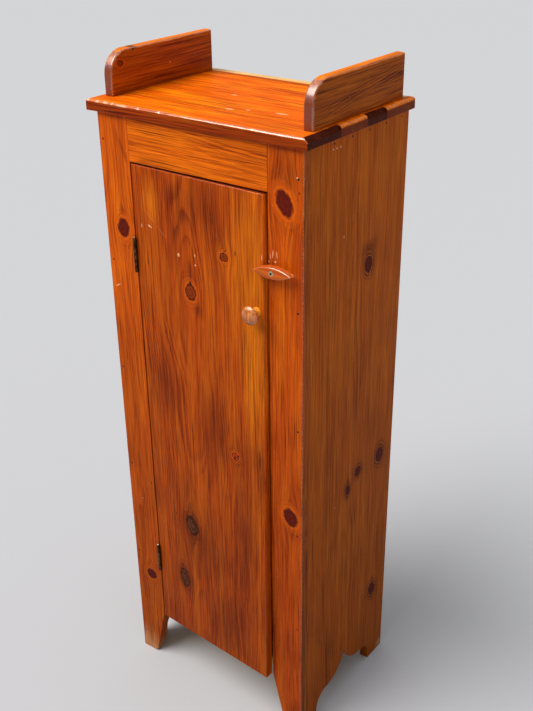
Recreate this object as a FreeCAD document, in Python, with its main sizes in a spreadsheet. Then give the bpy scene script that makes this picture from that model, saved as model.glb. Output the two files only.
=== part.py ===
import FreeCAD, Part
import math
import os
import re

import Sketcher

# Dry sink cabinet: a narrow pine cupboard with one flat inset door, a face frame on feet,
# an overhanging top and two rounded gallery ends.
# Millimetres, +Z up, the door faces -Y. The origin is on the floor, under the middle of
# the box that holds the whole piece.

# ---------------------------------------------------------------- driving sizes

SIZES = {
    # carcass
    "carcass_width": 420,        # across the outer faces of the stiles
    "carcass_depth": 306,        # front of the stiles to the back
    "carcass_height": 1176,      # floor to the underside of the top
    "board": 19,                 # sides, stiles, rail and shelves
    "back_board_thickness": 10,
    "rabbet_width": 9.5,         # the sides' rear rabbets, which house the back
    "back_seam": 0.4,            # between neighbouring back boards
    "back_foot_height": 112,     # floor to the lower ends of the back boards
    "arris": 1.5,                # rounding of the stiles' outer edges
    # face frame
    "stile_width": 67,
    "stile_foot_width": 38,      # width of each stile at the floor, after the taper
    "taper_height": 119,
    "rail_height": 76,
    "backer_drop": 10,           # how far the rail's backer shows below the rail
    "backer_thickness": 19,
    # brace-shaped cut under each side
    "foot_length": 55,           # front of the cabinet to the cut, at the floor
    "foot_rise": 15,             # straight part of the foot's edge
    "shoulder_radius": 35,
    "peak_height": 101,
    # top and gallery
    "top_thickness": 19,
    "overhang_left": 17,
    "overhang_right": 10,
    "overhang_front": 7,
    "top_round": 4.5,            # upper edges of the top
    "top_under_round": 1,        # lower edges of the top
    "gallery_thickness": 18,
    "gallery_height": 73,
    "gallery_radius": 40,
    "gallery_round": 2.5,        # arrises of the gallery ends
    "gallery_inset": 13,         # from the top's end to the gallery end's outer face
    "gallery_setback": 33,       # from the top's front edge
    "splash_thickness": 18,      # bare strip that the lost backsplash stood on
    # worn stretches of the top's right edge
    "wear_width": 7,
    "wear_depth": 8,
    "front_wear_length": 89,
    "rear_wear_start": 157,
    "rear_wear_length": 58,
    # shelves and cleats
    "bottom_shelf_height": 118,  # floor to its underside
    "bottom_shelf_setback": 2,   # from the back of the stiles
    "shelf_setback": 7,          # from the back of the door stop to the shelves above
    "cleat": 19,
    "cleat_length": 230,
    # door
    "door_planed": 1,            # how much thinner the door is than the face frame
    "door_gap_hinge": 2,
    "door_gap_latch": 3.5,
    "door_gap_top": 3,
    "door_floor_gap": 117.5,
    "warp_top": 5,               # how far the door's latch edge stands out at the top
    "warp_bottom": 16,           # and at the bottom, because the board is twisted
    "stop_width": 28,
    "stop_thickness": 12,
    "stop_reach": 9,             # how far the door stop reaches into the opening
    # hinges
    "barrel_length": 63.5,
    "barrel_radius": 2.9,
    "pin_radius": 1.5,
    "pin_clearance": 0.05,
    "barrel_gap": 0.6,           # between the barrel and the stiles' front
    "leaf_thickness": 1.3,
    "leaf_depth": 15.5,
    "leaf_clearance": 0.3,
    "knuckle_length": 14.4,      # each outer knuckle
    "barrel_to_leaf": 0.2,       # from the stiles' front to the full-height part of a leaf
    "upper_hinge_drop": 161.5,   # door's top to the middle of the upper hinge
    "lower_hinge_rise": 156.5,   # door's bottom to the middle of the lower hinge
    "pin_head_radius": 2.2,
    "pin_head_height": 1.2,
    "leaf_screw_length": 14,
    "leaf_screw_pitch": 21.6,    # from one screw to the next, down the leaf
    "leaf_screw_setback": 6.2,   # leaf's front edge to its outer screws
    "leaf_screw_stagger": 3.7,   # how much further back the middle screw is
    # knob
    "knob_from_latch": 14.5,     # door's latch edge to the knob's axis
    "knob_drop": 197,            # door's top to the knob's axis
    "knob_rim_radius": 15.3,     # where the rim meets the domed face
    "knob_neck_radius": 6,
    "knob_base_radius": 8,
    "knob_length": 28,
    "knob_foot_height": 2.5,
    "knob_waist_height": 8.5,    # from the foot up to the narrowest place
    "knob_waist_hollow": 0.34,   # how far each curve of the profile leaves a straight line
    "knob_flare_hollow": 1.43,
    "knob_rim_bulge": 1.3,
    "knob_rim_height": 4.5,
    "knob_dome_height": 6,
    "knob_screw_depth": 16,      # into the knob
    "knob_bedding": 0.4,         # how far the foot beds into the leaning door
    # turn button
    "button_from_side": 48.5,    # cabinet's right side to the screw
    "button_drop": 119,          # door's top to the screw
    "button_length": 75,
    "button_width": 20,
    "button_thickness": 11,
    "button_gap": 0.5,           # between the turning button and the door
    "button_tilt": 2.5,          # degrees that the right end is up at rest
    "button_round": 2.2,
    "spacer_radius": 7,
    "spacer_clearance": 0.15,
    "button_screw_radius": 2.2,
    "button_screw_clearance": 0.07,
    "button_screw_head": 4.4,
    "button_screw_cone": 2.4,
    "button_screw_crown": 2.4,   # radius of the flat on top of the domed head
    "button_screw_dome": 0.9,
    "button_screw_depth": 16,    # into the stile
    "slot_width": 1.1,
    "slot_depth": 1,
    # small fasteners
    "nail_radius": 1.1,
    "nail_head_radius": 1.9,
    "nail_head_height": 0.8,
    "frame_nail_length": 45,
    "frame_nail_margin": 46,     # floor or top to the nearest stile nail
    "side_nail_length": 33,
    "back_nail_length": 28,
    "screw_radius": 1.9,
    "screw_head_radius": 3.8,
    "screw_head_height": 2.2,
    "cleat_screw_length": 31,
    "gallery_screw_length": 46,
    "screw_end_margin": 30,      # board's end to its nearest screw
}

FRAME_NAILS = 6       # in each stile
TOP_NAILS = 5         # through each side into its top cleat
BACK_SIDE_NAILS = 5   # through the back into each side
SHELVES = 3           # above the bottom shelf
BACK_BOARDS = ("left", "middle", "right")
BOARD_NAILS = 2       # in each back board at each shelf

# ---------------------------------------------------------------- places worked out from the sizes

WORKED = {
    "top_level": "carcass_height + top_thickness",
    "door_thickness": "board - door_planed",
    "door_left": "stile_width + door_gap_hinge",
    "door_right": "carcass_width - stile_width - door_gap_latch",
    "door_width": "door_right - door_left",
    "rail_bottom": "carcass_height - rail_height",
    "door_top": "rail_bottom - door_gap_top",
    "door_height": "door_top - door_floor_gap",
    "opening_width": "carcass_width - 2 * stile_width",
    "inner_width": "carcass_width - 2 * board",
    "inner_right": "carcass_width - board",
    "back_front": "carcass_depth - back_board_thickness",
    "hinge_x": "stile_width + door_gap_hinge / 2",
    "upper_hinge": "door_top - upper_hinge_drop",
    "lower_hinge": "door_floor_gap + lower_hinge_rise",
    "bore_radius": "pin_radius + pin_clearance",
    "pin_stand_off": "barrel_radius + barrel_gap",
    "leaf_half_gap": "leaf_clearance / 2",
    "knob_x": "door_right - knob_from_latch",
    "knob_height": "door_top - knob_drop",
    "warp_range": "warp_bottom - warp_top",
    "knob_warp": "(warp_top + warp_range * knob_drop / door_height)"
                 " * (knob_x - door_left) / door_width",
    "knob_seat": "knob_warp - knob_bedding",
    "knob_reach": "knob_seat + knob_length",
    "knob_neck_level": "knob_foot_height + knob_waist_height",
    "knob_rim_level": "knob_length - knob_dome_height",
    "knob_flare_level": "knob_rim_level - knob_rim_height",
    "button_x": "carcass_width - button_from_side",
    "button_height": "door_top - button_drop",
    "button_back": "warp_top + warp_range * (button_drop + button_length / 2)"
                   " / door_height + button_gap",
    "button_front": "button_back + button_thickness",
    "gallery_length": "carcass_depth - splash_thickness + overhang_front - gallery_setback",
    "gallery_front": "gallery_setback - overhang_front",
    "gallery_left": "gallery_inset - overhang_left",
    "gallery_right": "carcass_width + overhang_right - gallery_inset - gallery_thickness",
    "bottom_shelf_top": "bottom_shelf_height + board",
    "shelf_front": "board + stop_thickness + shelf_setback",
    "shelf_pitch": "(carcass_height - bottom_shelf_top + board) / %d" % (SHELVES + 1),
    "cleat_front": "back_front - cleat_length",
    "side_depth": "carcass_depth - board",
    "cut_start": "foot_length - board",
    "cut_end": "carcass_depth - foot_length - board",
    "cut_middle": "carcass_depth / 2 - board",
    "shoulder": "foot_rise + shoulder_radius",
    "peak_run": "carcass_depth / 2 - foot_length - shoulder_radius",
    "peak_rise": "peak_height - shoulder",
    "peak_radius": "(peak_run ^ 2 + peak_rise ^ 2) / (2 * peak_rise)",
    "lens_radius": "(button_length ^ 2 / 4 + button_width ^ 2 / 4) / button_width",
    "centre_x": "(carcass_width + overhang_right - overhang_left) / 2",
    "centre_y": "(carcass_depth - knob_reach) / 2",
}

doc = FreeCAD.newDocument("dry_sink")
sheet = doc.addObject("Spreadsheet::Sheet", "Sizes")
for row, (size, value) in enumerate(SIZES.items(), 1):
    sheet.set(f"A{row}", size)
    sheet.set(f"B{row}", str(value))
    sheet.setAlias(f"B{row}", size)
doc.recompute()


def formula(text):
    """Spell out a length that is written with the names in SIZES and WORKED."""

    def spell(match):
        word = match.group(0)
        if word in WORKED:
            return "(" + formula(WORKED[word]) + ")"
        return "Sizes." + word if word in SIZES else word

    return re.sub(r"[a-z][a-z_]+", spell, str(text))


def number(text):
    """Today's value of such a length."""
    return float(sheet.evalExpression(formula(text)))


# ---------------------------------------------------------------- helpers

NODES = []


def node(thing, label):
    """Give a finished sub-part its label and list it for export."""
    thing.Label = label
    NODES.append(thing)
    return thing


def put(thing, x, y, z):
    """Bind a place, counted from the carcass's lower left front corner."""
    thing.setExpression("Placement.Base.x", formula(f"{x} - centre_x"))
    thing.setExpression("Placement.Base.y", formula(f"{y} - centre_y"))
    thing.setExpression("Placement.Base.z", formula(z))
    return thing


def box(name, corner, size):
    made = doc.addObject("Part::Box", name)
    for side, text in zip(("Length", "Width", "Height"), size):
        made.setExpression(side, formula(text))
    return put(made, *corner)


TURNS = {
    "+x": FreeCAD.Rotation(FreeCAD.Vector(0, 1, 0), 90),
    "-x": FreeCAD.Rotation(FreeCAD.Vector(0, 1, 0), -90),
    "+y": FreeCAD.Rotation(FreeCAD.Vector(1, 0, 0), -90),
    "-y": FreeCAD.Rotation(FreeCAD.Vector(1, 0, 0), 90),
    "+z": FreeCAD.Rotation(),
}


def cylinder(name, place, direction, radius, length):
    made = doc.addObject("Part::Cylinder", name)
    made.Placement.Rotation = TURNS[direction]
    made.setExpression("Radius", formula(radius))
    made.setExpression("Height", formula(length))
    return put(made, *place)


def cone(name, place, direction, first_radius, last_radius, length):
    made = doc.addObject("Part::Cone", name)
    made.Placement.Rotation = TURNS[direction]
    made.setExpression("Radius1", formula(first_radius))
    made.setExpression("Radius2", formula(last_radius))
    made.setExpression("Height", formula(length))
    return put(made, *place)


def fuse(name, *pieces):
    made = doc.addObject("Part::MultiFuse", name)
    made.Shapes = list(pieces)
    made.Refine = True
    return made


def group(name, pieces):
    made = doc.addObject("Part::Compound", name)
    made.Links = list(pieces)
    return made


def cut(name, base, *tools):
    """Cut the tools from the base one after the other."""
    for count, tool in enumerate(tools, 1):
        made = doc.addObject("Part::Cut", f"{name}_cut_{count}")
        made.Base = base
        made.Tool = tool
        made.Refine = False
        base = made
    return base


def along(place, direction, distance):
    """The place moved by a length along a direction such as '+x'."""
    sign, axis = direction
    moved = list(place)
    index = "xyz".index(axis)
    moved[index] = f"{moved[index]} {sign} ({distance})"
    return moved


def nail(name, place, direction, length):
    """A flat-headed nail whose head starts at the place."""
    head = cylinder(name + "_head", place, direction, "nail_head_radius", "nail_head_height")
    shank = cylinder(name + "_shank", place, direction, "nail_radius", length)
    return fuse(name, head, shank)


def screw(name, place, direction, length):
    """A countersunk wood screw whose head starts at the place."""
    head = cone(name + "_head", place, direction,
                "screw_head_radius", "screw_radius", "screw_head_height")
    shank = cylinder(name + "_shank", place, direction, "screw_radius", length)
    return fuse(name, head, shank)


def plane_of(body, role):
    return next(item for item in body.Origin.OriginFeatures if item.Role == role)


def sketch_on(body, role, offset="0"):
    made = body.newObject("Sketcher::SketchObject", body.Name + "_outline")
    made.AttachmentSupport = (plane_of(body, role), [""])
    made.MapMode = "FlatFace"
    made.setExpression("AttachmentOffset.Base.z", formula(offset))
    return made


def fix_point(sketch, line, end, across, up):
    """Bind one end of a line or arc to two lengths from the sketch's origin."""
    for kind, text in (("DistanceX", across), ("DistanceY", up)):
        index = sketch.addConstraint(
            Sketcher.Constraint(kind, -1, 1, line, end, number(text)))
        sketch.setExpression(f"Constraints[{index}]", formula(text))


def arc_between(start, end, radius, turn):
    """A circle's arc from start to end; turn is 'left' or 'right' of the way of travel."""
    if turn == "right":
        start, end = end, start
    chord = end - start
    middle = (start + end) * 0.5
    height = math.sqrt(max(radius ** 2 - (chord.Length / 2) ** 2, 0))
    centre = middle + FreeCAD.Vector(-chord.y, chord.x, 0).normalize() * height
    first = math.atan2(start.y - centre.y, start.x - centre.x)
    last = math.atan2(end.y - centre.y, end.x - centre.x)
    circle = Part.Circle(centre, FreeCAD.Vector(0, 0, 1), radius)
    return Part.ArcOfCircle(circle, first, last)


def draw(sketch, steps):
    """Draw a closed outline. Each step is (across, up) for a line to that point, or
    (across, up, radius, turn) for an arc to it. The last point is also the start."""
    points = [FreeCAD.Vector(number(step[0]), number(step[1]), 0) for step in steps]
    ends = []
    for index, step in enumerate(steps):
        start, end = points[index - 1], points[index]
        if len(step) == 2:
            line = sketch.addGeometry(Part.LineSegment(start, end), False)
            ends.append((line, 1, 2))
        else:
            radius, turn = step[2], step[3]
            line = sketch.addGeometry(arc_between(start, end, number(radius), turn), False)
            ends.append((line, 1, 2) if turn == "left" else (line, 2, 1))
            bound = sketch.addConstraint(Sketcher.Constraint("Radius", line, number(radius)))
            sketch.setExpression(f"Constraints[{bound}]", formula(radius))
    for index, (line, start, end) in enumerate(ends):
        before = ends[index - 1]
        sketch.addConstraint(
            Sketcher.Constraint("Coincident", before[0], before[2], line, start))
        fix_point(sketch, line, end, steps[index][0], steps[index][1])


def outline_body(name, role, steps, length, reverse=False):
    """A body padded from one closed outline on one of its origin planes."""
    body = doc.addObject("PartDesign::Body", name)
    sketch = sketch_on(body, role)
    draw(sketch, steps)
    pad = body.newObject("PartDesign::Pad", name + "_pad")
    pad.Profile = sketch
    pad.Reversed = reverse
    pad.setExpression("Length", formula(length))
    doc.recompute()
    return body


def round_edges(body, radius, wanted):
    """Round the body's edges whose middle passes the test."""
    last = body.Tip
    names = []
    for index, edge in enumerate(last.Shape.Edges, 1):
        middle = edge.valueAt((edge.FirstParameter + edge.LastParameter) / 2)
        if wanted(middle):
            names.append(f"Edge{index}")
    rounding = body.newObject("PartDesign::Fillet", body.Name + "_round")
    rounding.Base = (last, names)
    rounding.setExpression("Radius", formula(radius))
    doc.recompute()
    return body


def same(first, second):
    return abs(first - second) < 0.01


# ---------------------------------------------------------------- fasteners of the carcass

def spread(count, first, last, index):
    """The index-th of count places spread evenly from first to last."""
    return f"({first}) + (({last}) - ({first})) * {index} / {count - 1}"


def frame_nails(side, x):
    return [
        nail(f"{side}_frame_nail_{index}",
             (x, "0", spread(FRAME_NAILS, "frame_nail_margin",
                             "carcass_height - frame_nail_margin", index)),
             "+y", "frame_nail_length")
        for index in range(FRAME_NAILS)
    ]


FRAME_NAIL_GROUP = group("frame_nail_group",
                         frame_nails("left", "board / 2")
                         + frame_nails("right", "carcass_width - board / 2"))


def top_cleat_nails(side, x, direction):
    return [
        nail(f"{side}_top_nail_{index}",
             (x, spread(TOP_NAILS, "cleat_front + screw_end_margin / 2",
                        "back_front - screw_end_margin / 2", index),
              "carcass_height - cleat / 2"),
             direction, "side_nail_length")
        for index in range(TOP_NAILS)
    ]


TOP_NAIL_GROUP = group("top_nail_group",
                       top_cleat_nails("left", "0", "+x")
                       + top_cleat_nails("right", "carcass_width", "-x"))


def shelf_level(index):
    """Underside of a shelf: 0 is the bottom shelf."""
    return f"bottom_shelf_height + shelf_pitch * {index}"


def back_nails():
    """A row of nails through the back boards into each shelf, and a row into each side."""
    made = []
    row = BOARD_NAILS * len(BACK_BOARDS)
    for level in range(SHELVES + 1):
        for place in range(row):
            across = f"board + inner_width * ({place} + 0.5) / {row}"
            made.append(nail(f"back_shelf_nail_{level}_{place}",
                             (across, "carcass_depth", shelf_level(level) + " + board / 2"),
                             "-y", "back_nail_length"))
    edge = "rabbet_width + (board - rabbet_width) / 2"
    for side, across in (("left", edge), ("right", f"carcass_width - {edge}")):
        for index in range(BACK_SIDE_NAILS):
            height = spread(BACK_SIDE_NAILS, "back_foot_height + screw_end_margin",
                            "carcass_height - 2 * screw_end_margin", index)
            made.append(nail(f"back_{side}_nail_{index}", (across, "carcass_depth", height),
                             "-y", "back_nail_length"))
    return made


BACK_NAIL_GROUP = group("back_nail_group", back_nails())


def cleat_screws():
    """Two screws through each shelf cleat into the side behind it."""
    made = []
    for level in range(SHELVES + 1):
        height = shelf_level(level) + " - cleat / 2"
        for side, across, direction in (("left", "board + cleat", "-x"),
                                        ("right", "inner_right - cleat", "+x")):
            for index in range(2):
                place = spread(2, "cleat_front + screw_end_margin",
                               "back_front - screw_end_margin", index)
                made.append(screw(f"{side}_cleat_screw_{level}_{index}",
                                  (across, place, height), direction, "cleat_screw_length"))
    return made


CLEAT_SCREW_GROUP = group("cleat_screw_group", cleat_screws())


def top_cleat_screws():
    """Two screws up through each top cleat into the top."""
    return [
        screw(f"{side}_top_screw_{index}",
              (across, spread(2, "cleat_front + 1.5 * screw_end_margin",
                              "back_front - 1.5 * screw_end_margin", index),
               "carcass_height - cleat"),
              "+z", "cleat_screw_length")
        for side, across in (("left", "board + cleat / 2"),
                             ("right", "inner_right - cleat / 2"))
        for index in range(2)
    ]


TOP_SCREW_GROUP = group("top_screw_group", top_cleat_screws())


def gallery_screws():
    """Two screws up through the top into each gallery end."""
    return [
        screw(f"{side}_gallery_screw_{index}",
              (f"{across} + gallery_thickness / 2",
               spread(2, "gallery_front + 1.5 * screw_end_margin",
                      "gallery_front + gallery_length - screw_end_margin", index),
               "carcass_height"),
              "+z", "gallery_screw_length")
        for side, across in (("left", "gallery_left"), ("right", "gallery_right"))
        for index in range(2)
    ]


GALLERY_SCREW_GROUP = group("gallery_screw_group", gallery_screws())

# ---------------------------------------------------------------- hinges

def hinge_leaf(name, middle, toward):
    """One leaf of a butt hinge. toward is -1 for the frame leaf, with the two outer
    knuckles, and 1 for the door leaf, with the long middle knuckle."""
    foot = f"{middle} - barrel_length / 2"
    inner_foot = f"{foot} + knuckle_length + leaf_clearance"
    inner_length = "barrel_length - 2 * knuckle_length - 2 * leaf_clearance"
    if toward < 0:
        leaf_x = "hinge_x - leaf_half_gap - leaf_thickness"
        knuckles = [(foot, "knuckle_length"),
                    (f"{foot} + barrel_length - knuckle_length", "knuckle_length")]
    else:
        leaf_x = "hinge_x + leaf_half_gap"
        knuckles = [(inner_foot, inner_length)]
    pieces = [box(name + "_plate", (leaf_x, "barrel_to_leaf", foot),
                  ("leaf_thickness", "leaf_depth", "barrel_length"))]
    for count, (start, length) in enumerate(knuckles):
        pieces.append(cylinder(f"{name}_knuckle_{count}", ("hinge_x", "-pin_stand_off", start),
                               "+z", "barrel_radius", length))
        pieces.append(box(f"{name}_neck_{count}", (leaf_x, "-pin_stand_off", start),
                          ("leaf_thickness", "pin_stand_off + barrel_to_leaf", length)))
    bore = cylinder(name + "_bore", ("hinge_x", "-pin_stand_off", f"{foot} - 1"), "+z",
                    "bore_radius", "barrel_length + 2")
    return cut(name, fuse(name + "_blank", *pieces), bore)


def leaf_screws(name, middle, toward):
    """Three countersunk screws, staggered down the leaf."""
    face = f"hinge_x + ({toward}) * leaf_half_gap"
    direction = "+x" if toward > 0 else "-x"
    made = []
    for index in range(3):
        depth = "barrel_to_leaf + leaf_screw_setback"
        if index == 1:
            depth += " + leaf_screw_stagger"
        height = f"{middle} + leaf_screw_pitch * {index - 1}"
        made.append(screw(f"{name}_screw_{index}", (face, depth, height),
                          direction, "leaf_screw_length"))
    return made


def mortise(name, middle, toward):
    """The shallow pocket that lets a leaf into the wood."""
    start = "hinge_x - leaf_half_gap - leaf_thickness" if toward < 0 else "hinge_x"
    return box(name, (start, "-1", f"{middle} - barrel_length / 2"),
               ("leaf_half_gap + leaf_thickness", "leaf_depth + barrel_to_leaf + 1",
                "barrel_length"))


def hinge_pin(name, middle):
    """A round pin with a small domed head on the top knuckle."""
    foot = f"{middle} - barrel_length / 2"
    top = f"{middle} + barrel_length / 2"
    rod = cylinder(name + "_rod", ("hinge_x", "-pin_stand_off", foot), "+z",
                   "pin_radius", "barrel_length")
    head = cylinder(name + "_head", ("hinge_x", "-pin_stand_off", top), "+z",
                    "pin_head_radius", "pin_head_height")
    dome = cone(name + "_dome", ("hinge_x", "-pin_stand_off", f"{top} + pin_head_height"),
                "+z", "pin_head_radius", "pin_head_radius / 2", "pin_head_height / 2")
    return fuse(name, rod, head, dome)


HINGES = (("upper", "upper_hinge"), ("lower", "lower_hinge"))
FRAME_SCREW_GROUP = group("frame_screw_group", [
    made for side, middle in HINGES for made in leaf_screws(side + "_frame", middle, -1)])
DOOR_SCREW_GROUP = group("door_screw_group", [
    made for side, middle in HINGES for made in leaf_screws(side + "_door", middle, 1)])

# ---------------------------------------------------------------- turn button, its screw and spacer

def button_screw():
    """A countersunk, domed, slotted screw that the button turns on."""
    face = ("button_x", "-button_front", "button_height")
    start = along(face, "-y", "button_screw_dome")
    shank = cylinder("button_screw_shank", face, "+y", "button_screw_radius",
                     "button_front + button_screw_depth")
    seat = cone("button_screw_seat", face, "+y", "button_screw_head", "button_screw_radius",
                "button_screw_cone")
    dome = cone("button_screw_cap", start, "+y", "button_screw_crown",
                "button_screw_head", "button_screw_dome")
    slot = box("button_screw_slot",
               ("button_x - button_screw_head - 1",
                "-button_front - button_screw_dome - 1",
                "button_height - slot_width / 2"),
               ("2 * button_screw_head + 2", "slot_depth + 1", "slot_width"))
    return cut("button_screw", fuse("button_screw_blank", shank, seat, dome), slot)


BUTTON_SCREW = button_screw()


def turn_button():
    """A lens of wood with softened front edges, bored and countersunk for its screw."""
    halves = []
    for count, sign in enumerate(("+", "-")):
        disc = doc.addObject("Part::Cylinder", f"button_arc_{count}")
        disc.setExpression("Radius", formula("lens_radius"))
        disc.setExpression("Height", formula("button_thickness"))
        disc.setExpression("Placement.Base.y",
                           formula(f"0 {sign} (lens_radius - button_width / 2)"))
        halves.append(disc)
    lens = doc.addObject("Part::MultiCommon", "button_lens")
    lens.Shapes = halves
    doc.recompute()
    rounded = doc.addObject("Part::Fillet", "button_rounded")
    rounded.Base = lens
    top = number("button_thickness")
    rounded.Edges = [
        (index, number("button_round"), number("button_round"))
        for index, edge in enumerate(lens.Shape.Edges, 1)
        if same(edge.CenterOfMass.z, top)
    ]
    # the lens lies on its back; it is stood up with its front towards -Y and tilted
    rounded.Placement.Rotation = (
        FreeCAD.Rotation(FreeCAD.Vector(0, 1, 0), -number("button_tilt"))
        * FreeCAD.Rotation(FreeCAD.Vector(1, 0, 0), 90))
    put(rounded, "button_x", "-button_back", "button_height")
    bore = cylinder("button_bore", ("button_x", "-button_front - 1", "button_height"), "+y",
                    "button_screw_radius + button_screw_clearance", "button_thickness + 2")
    sink = cone("button_sink", ("button_x", "-button_front", "button_height"), "+y",
                "button_screw_head + button_screw_clearance * 2",
                "button_screw_radius + button_screw_clearance",
                "button_screw_cone + button_screw_clearance")
    return cut("turn_button", rounded, bore, sink)


def button_spacer():
    disc = cylinder("button_spacer_disc", ("button_x", "-button_back + spacer_clearance",
                                           "button_height"),
                    "+y", "spacer_radius", "button_back - spacer_clearance")
    return cut("button_spacer", disc, BUTTON_SCREW)


# ---------------------------------------------------------------- carcass

def side_board(side, x):
    """A side board with the brace-shaped cut that leaves two feet."""
    blank = outline_body(side + "_side_blank", "YZ_Plane", [
        ("0", "0"),
        ("cut_start", "0"),
        ("cut_start", "foot_rise"),
        ("cut_start + shoulder_radius", "shoulder", "shoulder_radius", "right"),
        ("cut_middle", "peak_height", "peak_radius", "left"),
        ("cut_end - shoulder_radius", "shoulder", "peak_radius", "left"),
        ("cut_end", "foot_rise", "shoulder_radius", "right"),
        ("cut_end", "0"),
        ("side_depth", "0"),
        ("side_depth", "carcass_height"),
        ("0", "carcass_height"),
    ], "board")
    put(blank, x, "board", "0")
    inward = "rabbet_width" if side == "left" else "inner_right - 1"
    rabbet = box(side + "_rabbet", (inward, "back_front", "-1"),
                 ("board - rabbet_width + 1", "back_board_thickness + 1",
                  "carcass_height + 2"))
    return cut(side + "_side", blank, rabbet, FRAME_NAIL_GROUP, TOP_NAIL_GROUP,
               BACK_NAIL_GROUP, CLEAT_SCREW_GROUP)


def stile(side):
    """A stile whose foot tapers on the inner edge, with a softened outer edge."""
    if side == "left":
        steps = [("0", "0"), ("stile_foot_width", "0"), ("stile_width", "taper_height"),
                 ("stile_width", "carcass_height"), ("0", "carcass_height")]
        outer = 0
    else:
        steps = [("stile_width", "0"), ("stile_width", "carcass_height"),
                 ("0", "carcass_height"), ("0", "taper_height"),
                 ("stile_width - stile_foot_width", "0")]
        outer = number("stile_width")
    blank = outline_body(side + "_stile_blank", "XZ_Plane", steps, "board", reverse=True)
    round_edges(blank, "arris",
                lambda at: same(at.x, outer) and same(at.y, 0))
    put(blank, "0" if side == "left" else "carcass_width - stile_width", "0", "0")
    if side == "left":
        tools = [mortise(f"frame_mortise_{where}", middle, -1) for where, middle in HINGES]
        tools.append(FRAME_SCREW_GROUP)
    else:
        tools = [BUTTON_SCREW]
    return cut(side + "_stile", blank, FRAME_NAIL_GROUP, *tools)


def top_board():
    """The overhanging top: upper edges rounded, two worn stretches on the right edge."""
    blank = outline_body("top_blank", "XY_Plane", [
        ("0", "0"),
        ("carcass_width + overhang_left + overhang_right", "0"),
        ("carcass_width + overhang_left + overhang_right", "carcass_depth + overhang_front"),
        ("0", "carcass_depth + overhang_front"),
    ], "top_thickness")
    depth = number("carcass_depth + overhang_front")
    thickness = number("top_thickness")
    round_edges(blank, "top_round", lambda at: same(at.z, thickness) and not same(at.y, depth))
    round_edges(blank, "top_under_round", lambda at: same(at.z, 0) and not same(at.y, depth))
    put(blank, "-overhang_left", "-overhang_front", "carcass_height")
    right = "carcass_width + overhang_right"
    tools = []
    for place, start, length in (
            ("front", "-overhang_front - 1", "front_wear_length + 1"),
            ("rear", "rear_wear_start", "rear_wear_length")):
        wedge = outline_body(place + "_wear", "XZ_Plane", [
            ("0", "2 * wear_depth"),
            ("2 * wear_width", "0"),
            ("2 * wear_width", "2 * wear_depth"),
        ], length, reverse=True)
        put(wedge, f"{right} - wear_width", start, "top_level - wear_depth * 2")
        tools.append(wedge)
    return cut("top_board", blank, *tools, GALLERY_SCREW_GROUP, TOP_SCREW_GROUP)


def gallery_end(side):
    """A gallery end with a large rounded front corner and softened arrises."""
    blank = outline_body(side + "_gallery_blank", "YZ_Plane", [
        ("0", "0"),
        ("gallery_length", "0"),
        ("gallery_length", "gallery_height"),
        ("gallery_radius", "gallery_height"),
        ("0", "gallery_height - gallery_radius", "gallery_radius", "left"),
    ], "gallery_thickness")
    length = number("gallery_length")
    round_edges(blank, "gallery_round",
                lambda at: at.z > 0.01 and at.y < length - 0.01
                and not (0.01 < at.x < number("gallery_thickness") - 0.01))
    put(blank, f"gallery_{side}", "gallery_front", "top_level")
    return cut(side + "_gallery_end", blank, GALLERY_SCREW_GROUP)


def back_board(index):
    count = len(BACK_BOARDS)
    width = f"(carcass_width - 2 * rabbet_width - {count - 1} * back_seam) / {count}"
    plain = box(f"back_blank_{index}",
                (f"rabbet_width + ({width} + back_seam) * {index}", "back_front",
                 "back_foot_height"),
                (width, "back_board_thickness", "carcass_height - back_foot_height"))
    return cut(f"back_board_{index}", plain, BACK_NAIL_GROUP)


def shelf(level):
    front = "board + bottom_shelf_setback" if level == 0 else "shelf_front"
    plain = box(f"shelf_blank_{level}", ("board", front, shelf_level(level)),
                ("inner_width", f"back_front - ({front})", "board"))
    return cut(f"shelf_{level}", plain, BACK_NAIL_GROUP)


def cleat(name, x, z, tools):
    plain = box(name + "_blank", (x, "cleat_front", z), ("cleat", "cleat_length", "cleat"))
    return cut(name, plain, *tools)


SHELF_NAMES = ["bottom_shelf", "lower_shelf", "middle_shelf", "upper_shelf"]

for hand, across in (("left", "0"), ("right", "inner_right")):
    node(side_board(hand, across), hand + "_side")
    node(stile(hand), hand + "_stile")
    node(gallery_end(hand), hand + "_gallery_end")
node(box("rail_blank", ("stile_width", "0", "rail_bottom"),
         ("opening_width", "board", "rail_height")), "top_rail")
node(box("backer_blank", ("board", "board", "rail_bottom - backer_drop"),
         ("inner_width", "backer_thickness", "rail_height + backer_drop")), "rail_backer")
node(top_board(), "top_board")
for index, where in enumerate(BACK_BOARDS):
    node(back_board(index), f"back_board_{where}")
for level, shelf_name in enumerate(SHELF_NAMES[:SHELVES + 1]):
    node(shelf(level), shelf_name)
    for hand, across in (("left", "board"), ("right", "inner_right - cleat")):
        name = f"{shelf_name}_{hand}_cleat"
        node(cleat(name, across, shelf_level(level) + " - cleat", [CLEAT_SCREW_GROUP]), name)
for hand, across in (("left", "board"), ("right", "inner_right - cleat")):
    name = f"top_{hand}_cleat"
    node(cleat(name, across, "carcass_height - cleat", [TOP_NAIL_GROUP, TOP_SCREW_GROUP]),
         name)
node(box("stop_blank",
         ("carcass_width - stile_width - stop_reach", "board", "bottom_shelf_top"),
         ("stop_width", "stop_thickness", "rail_bottom - backer_drop - bottom_shelf_top")),
     "door_stop")
for side, middle in HINGES:
    name = side + "_hinge_frame_leaf"
    node(cut(name, hinge_leaf(name, middle, -1), FRAME_SCREW_GROUP), name)
    node(hinge_pin(side + "_pin", middle), side + "_hinge_pin")
node(FRAME_SCREW_GROUP, "hinge_frame_screws")
node(BUTTON_SCREW, "turn_button_screw")
node(button_spacer(), "turn_button_spacer")
node(FRAME_NAIL_GROUP, "stile_nails")
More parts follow.
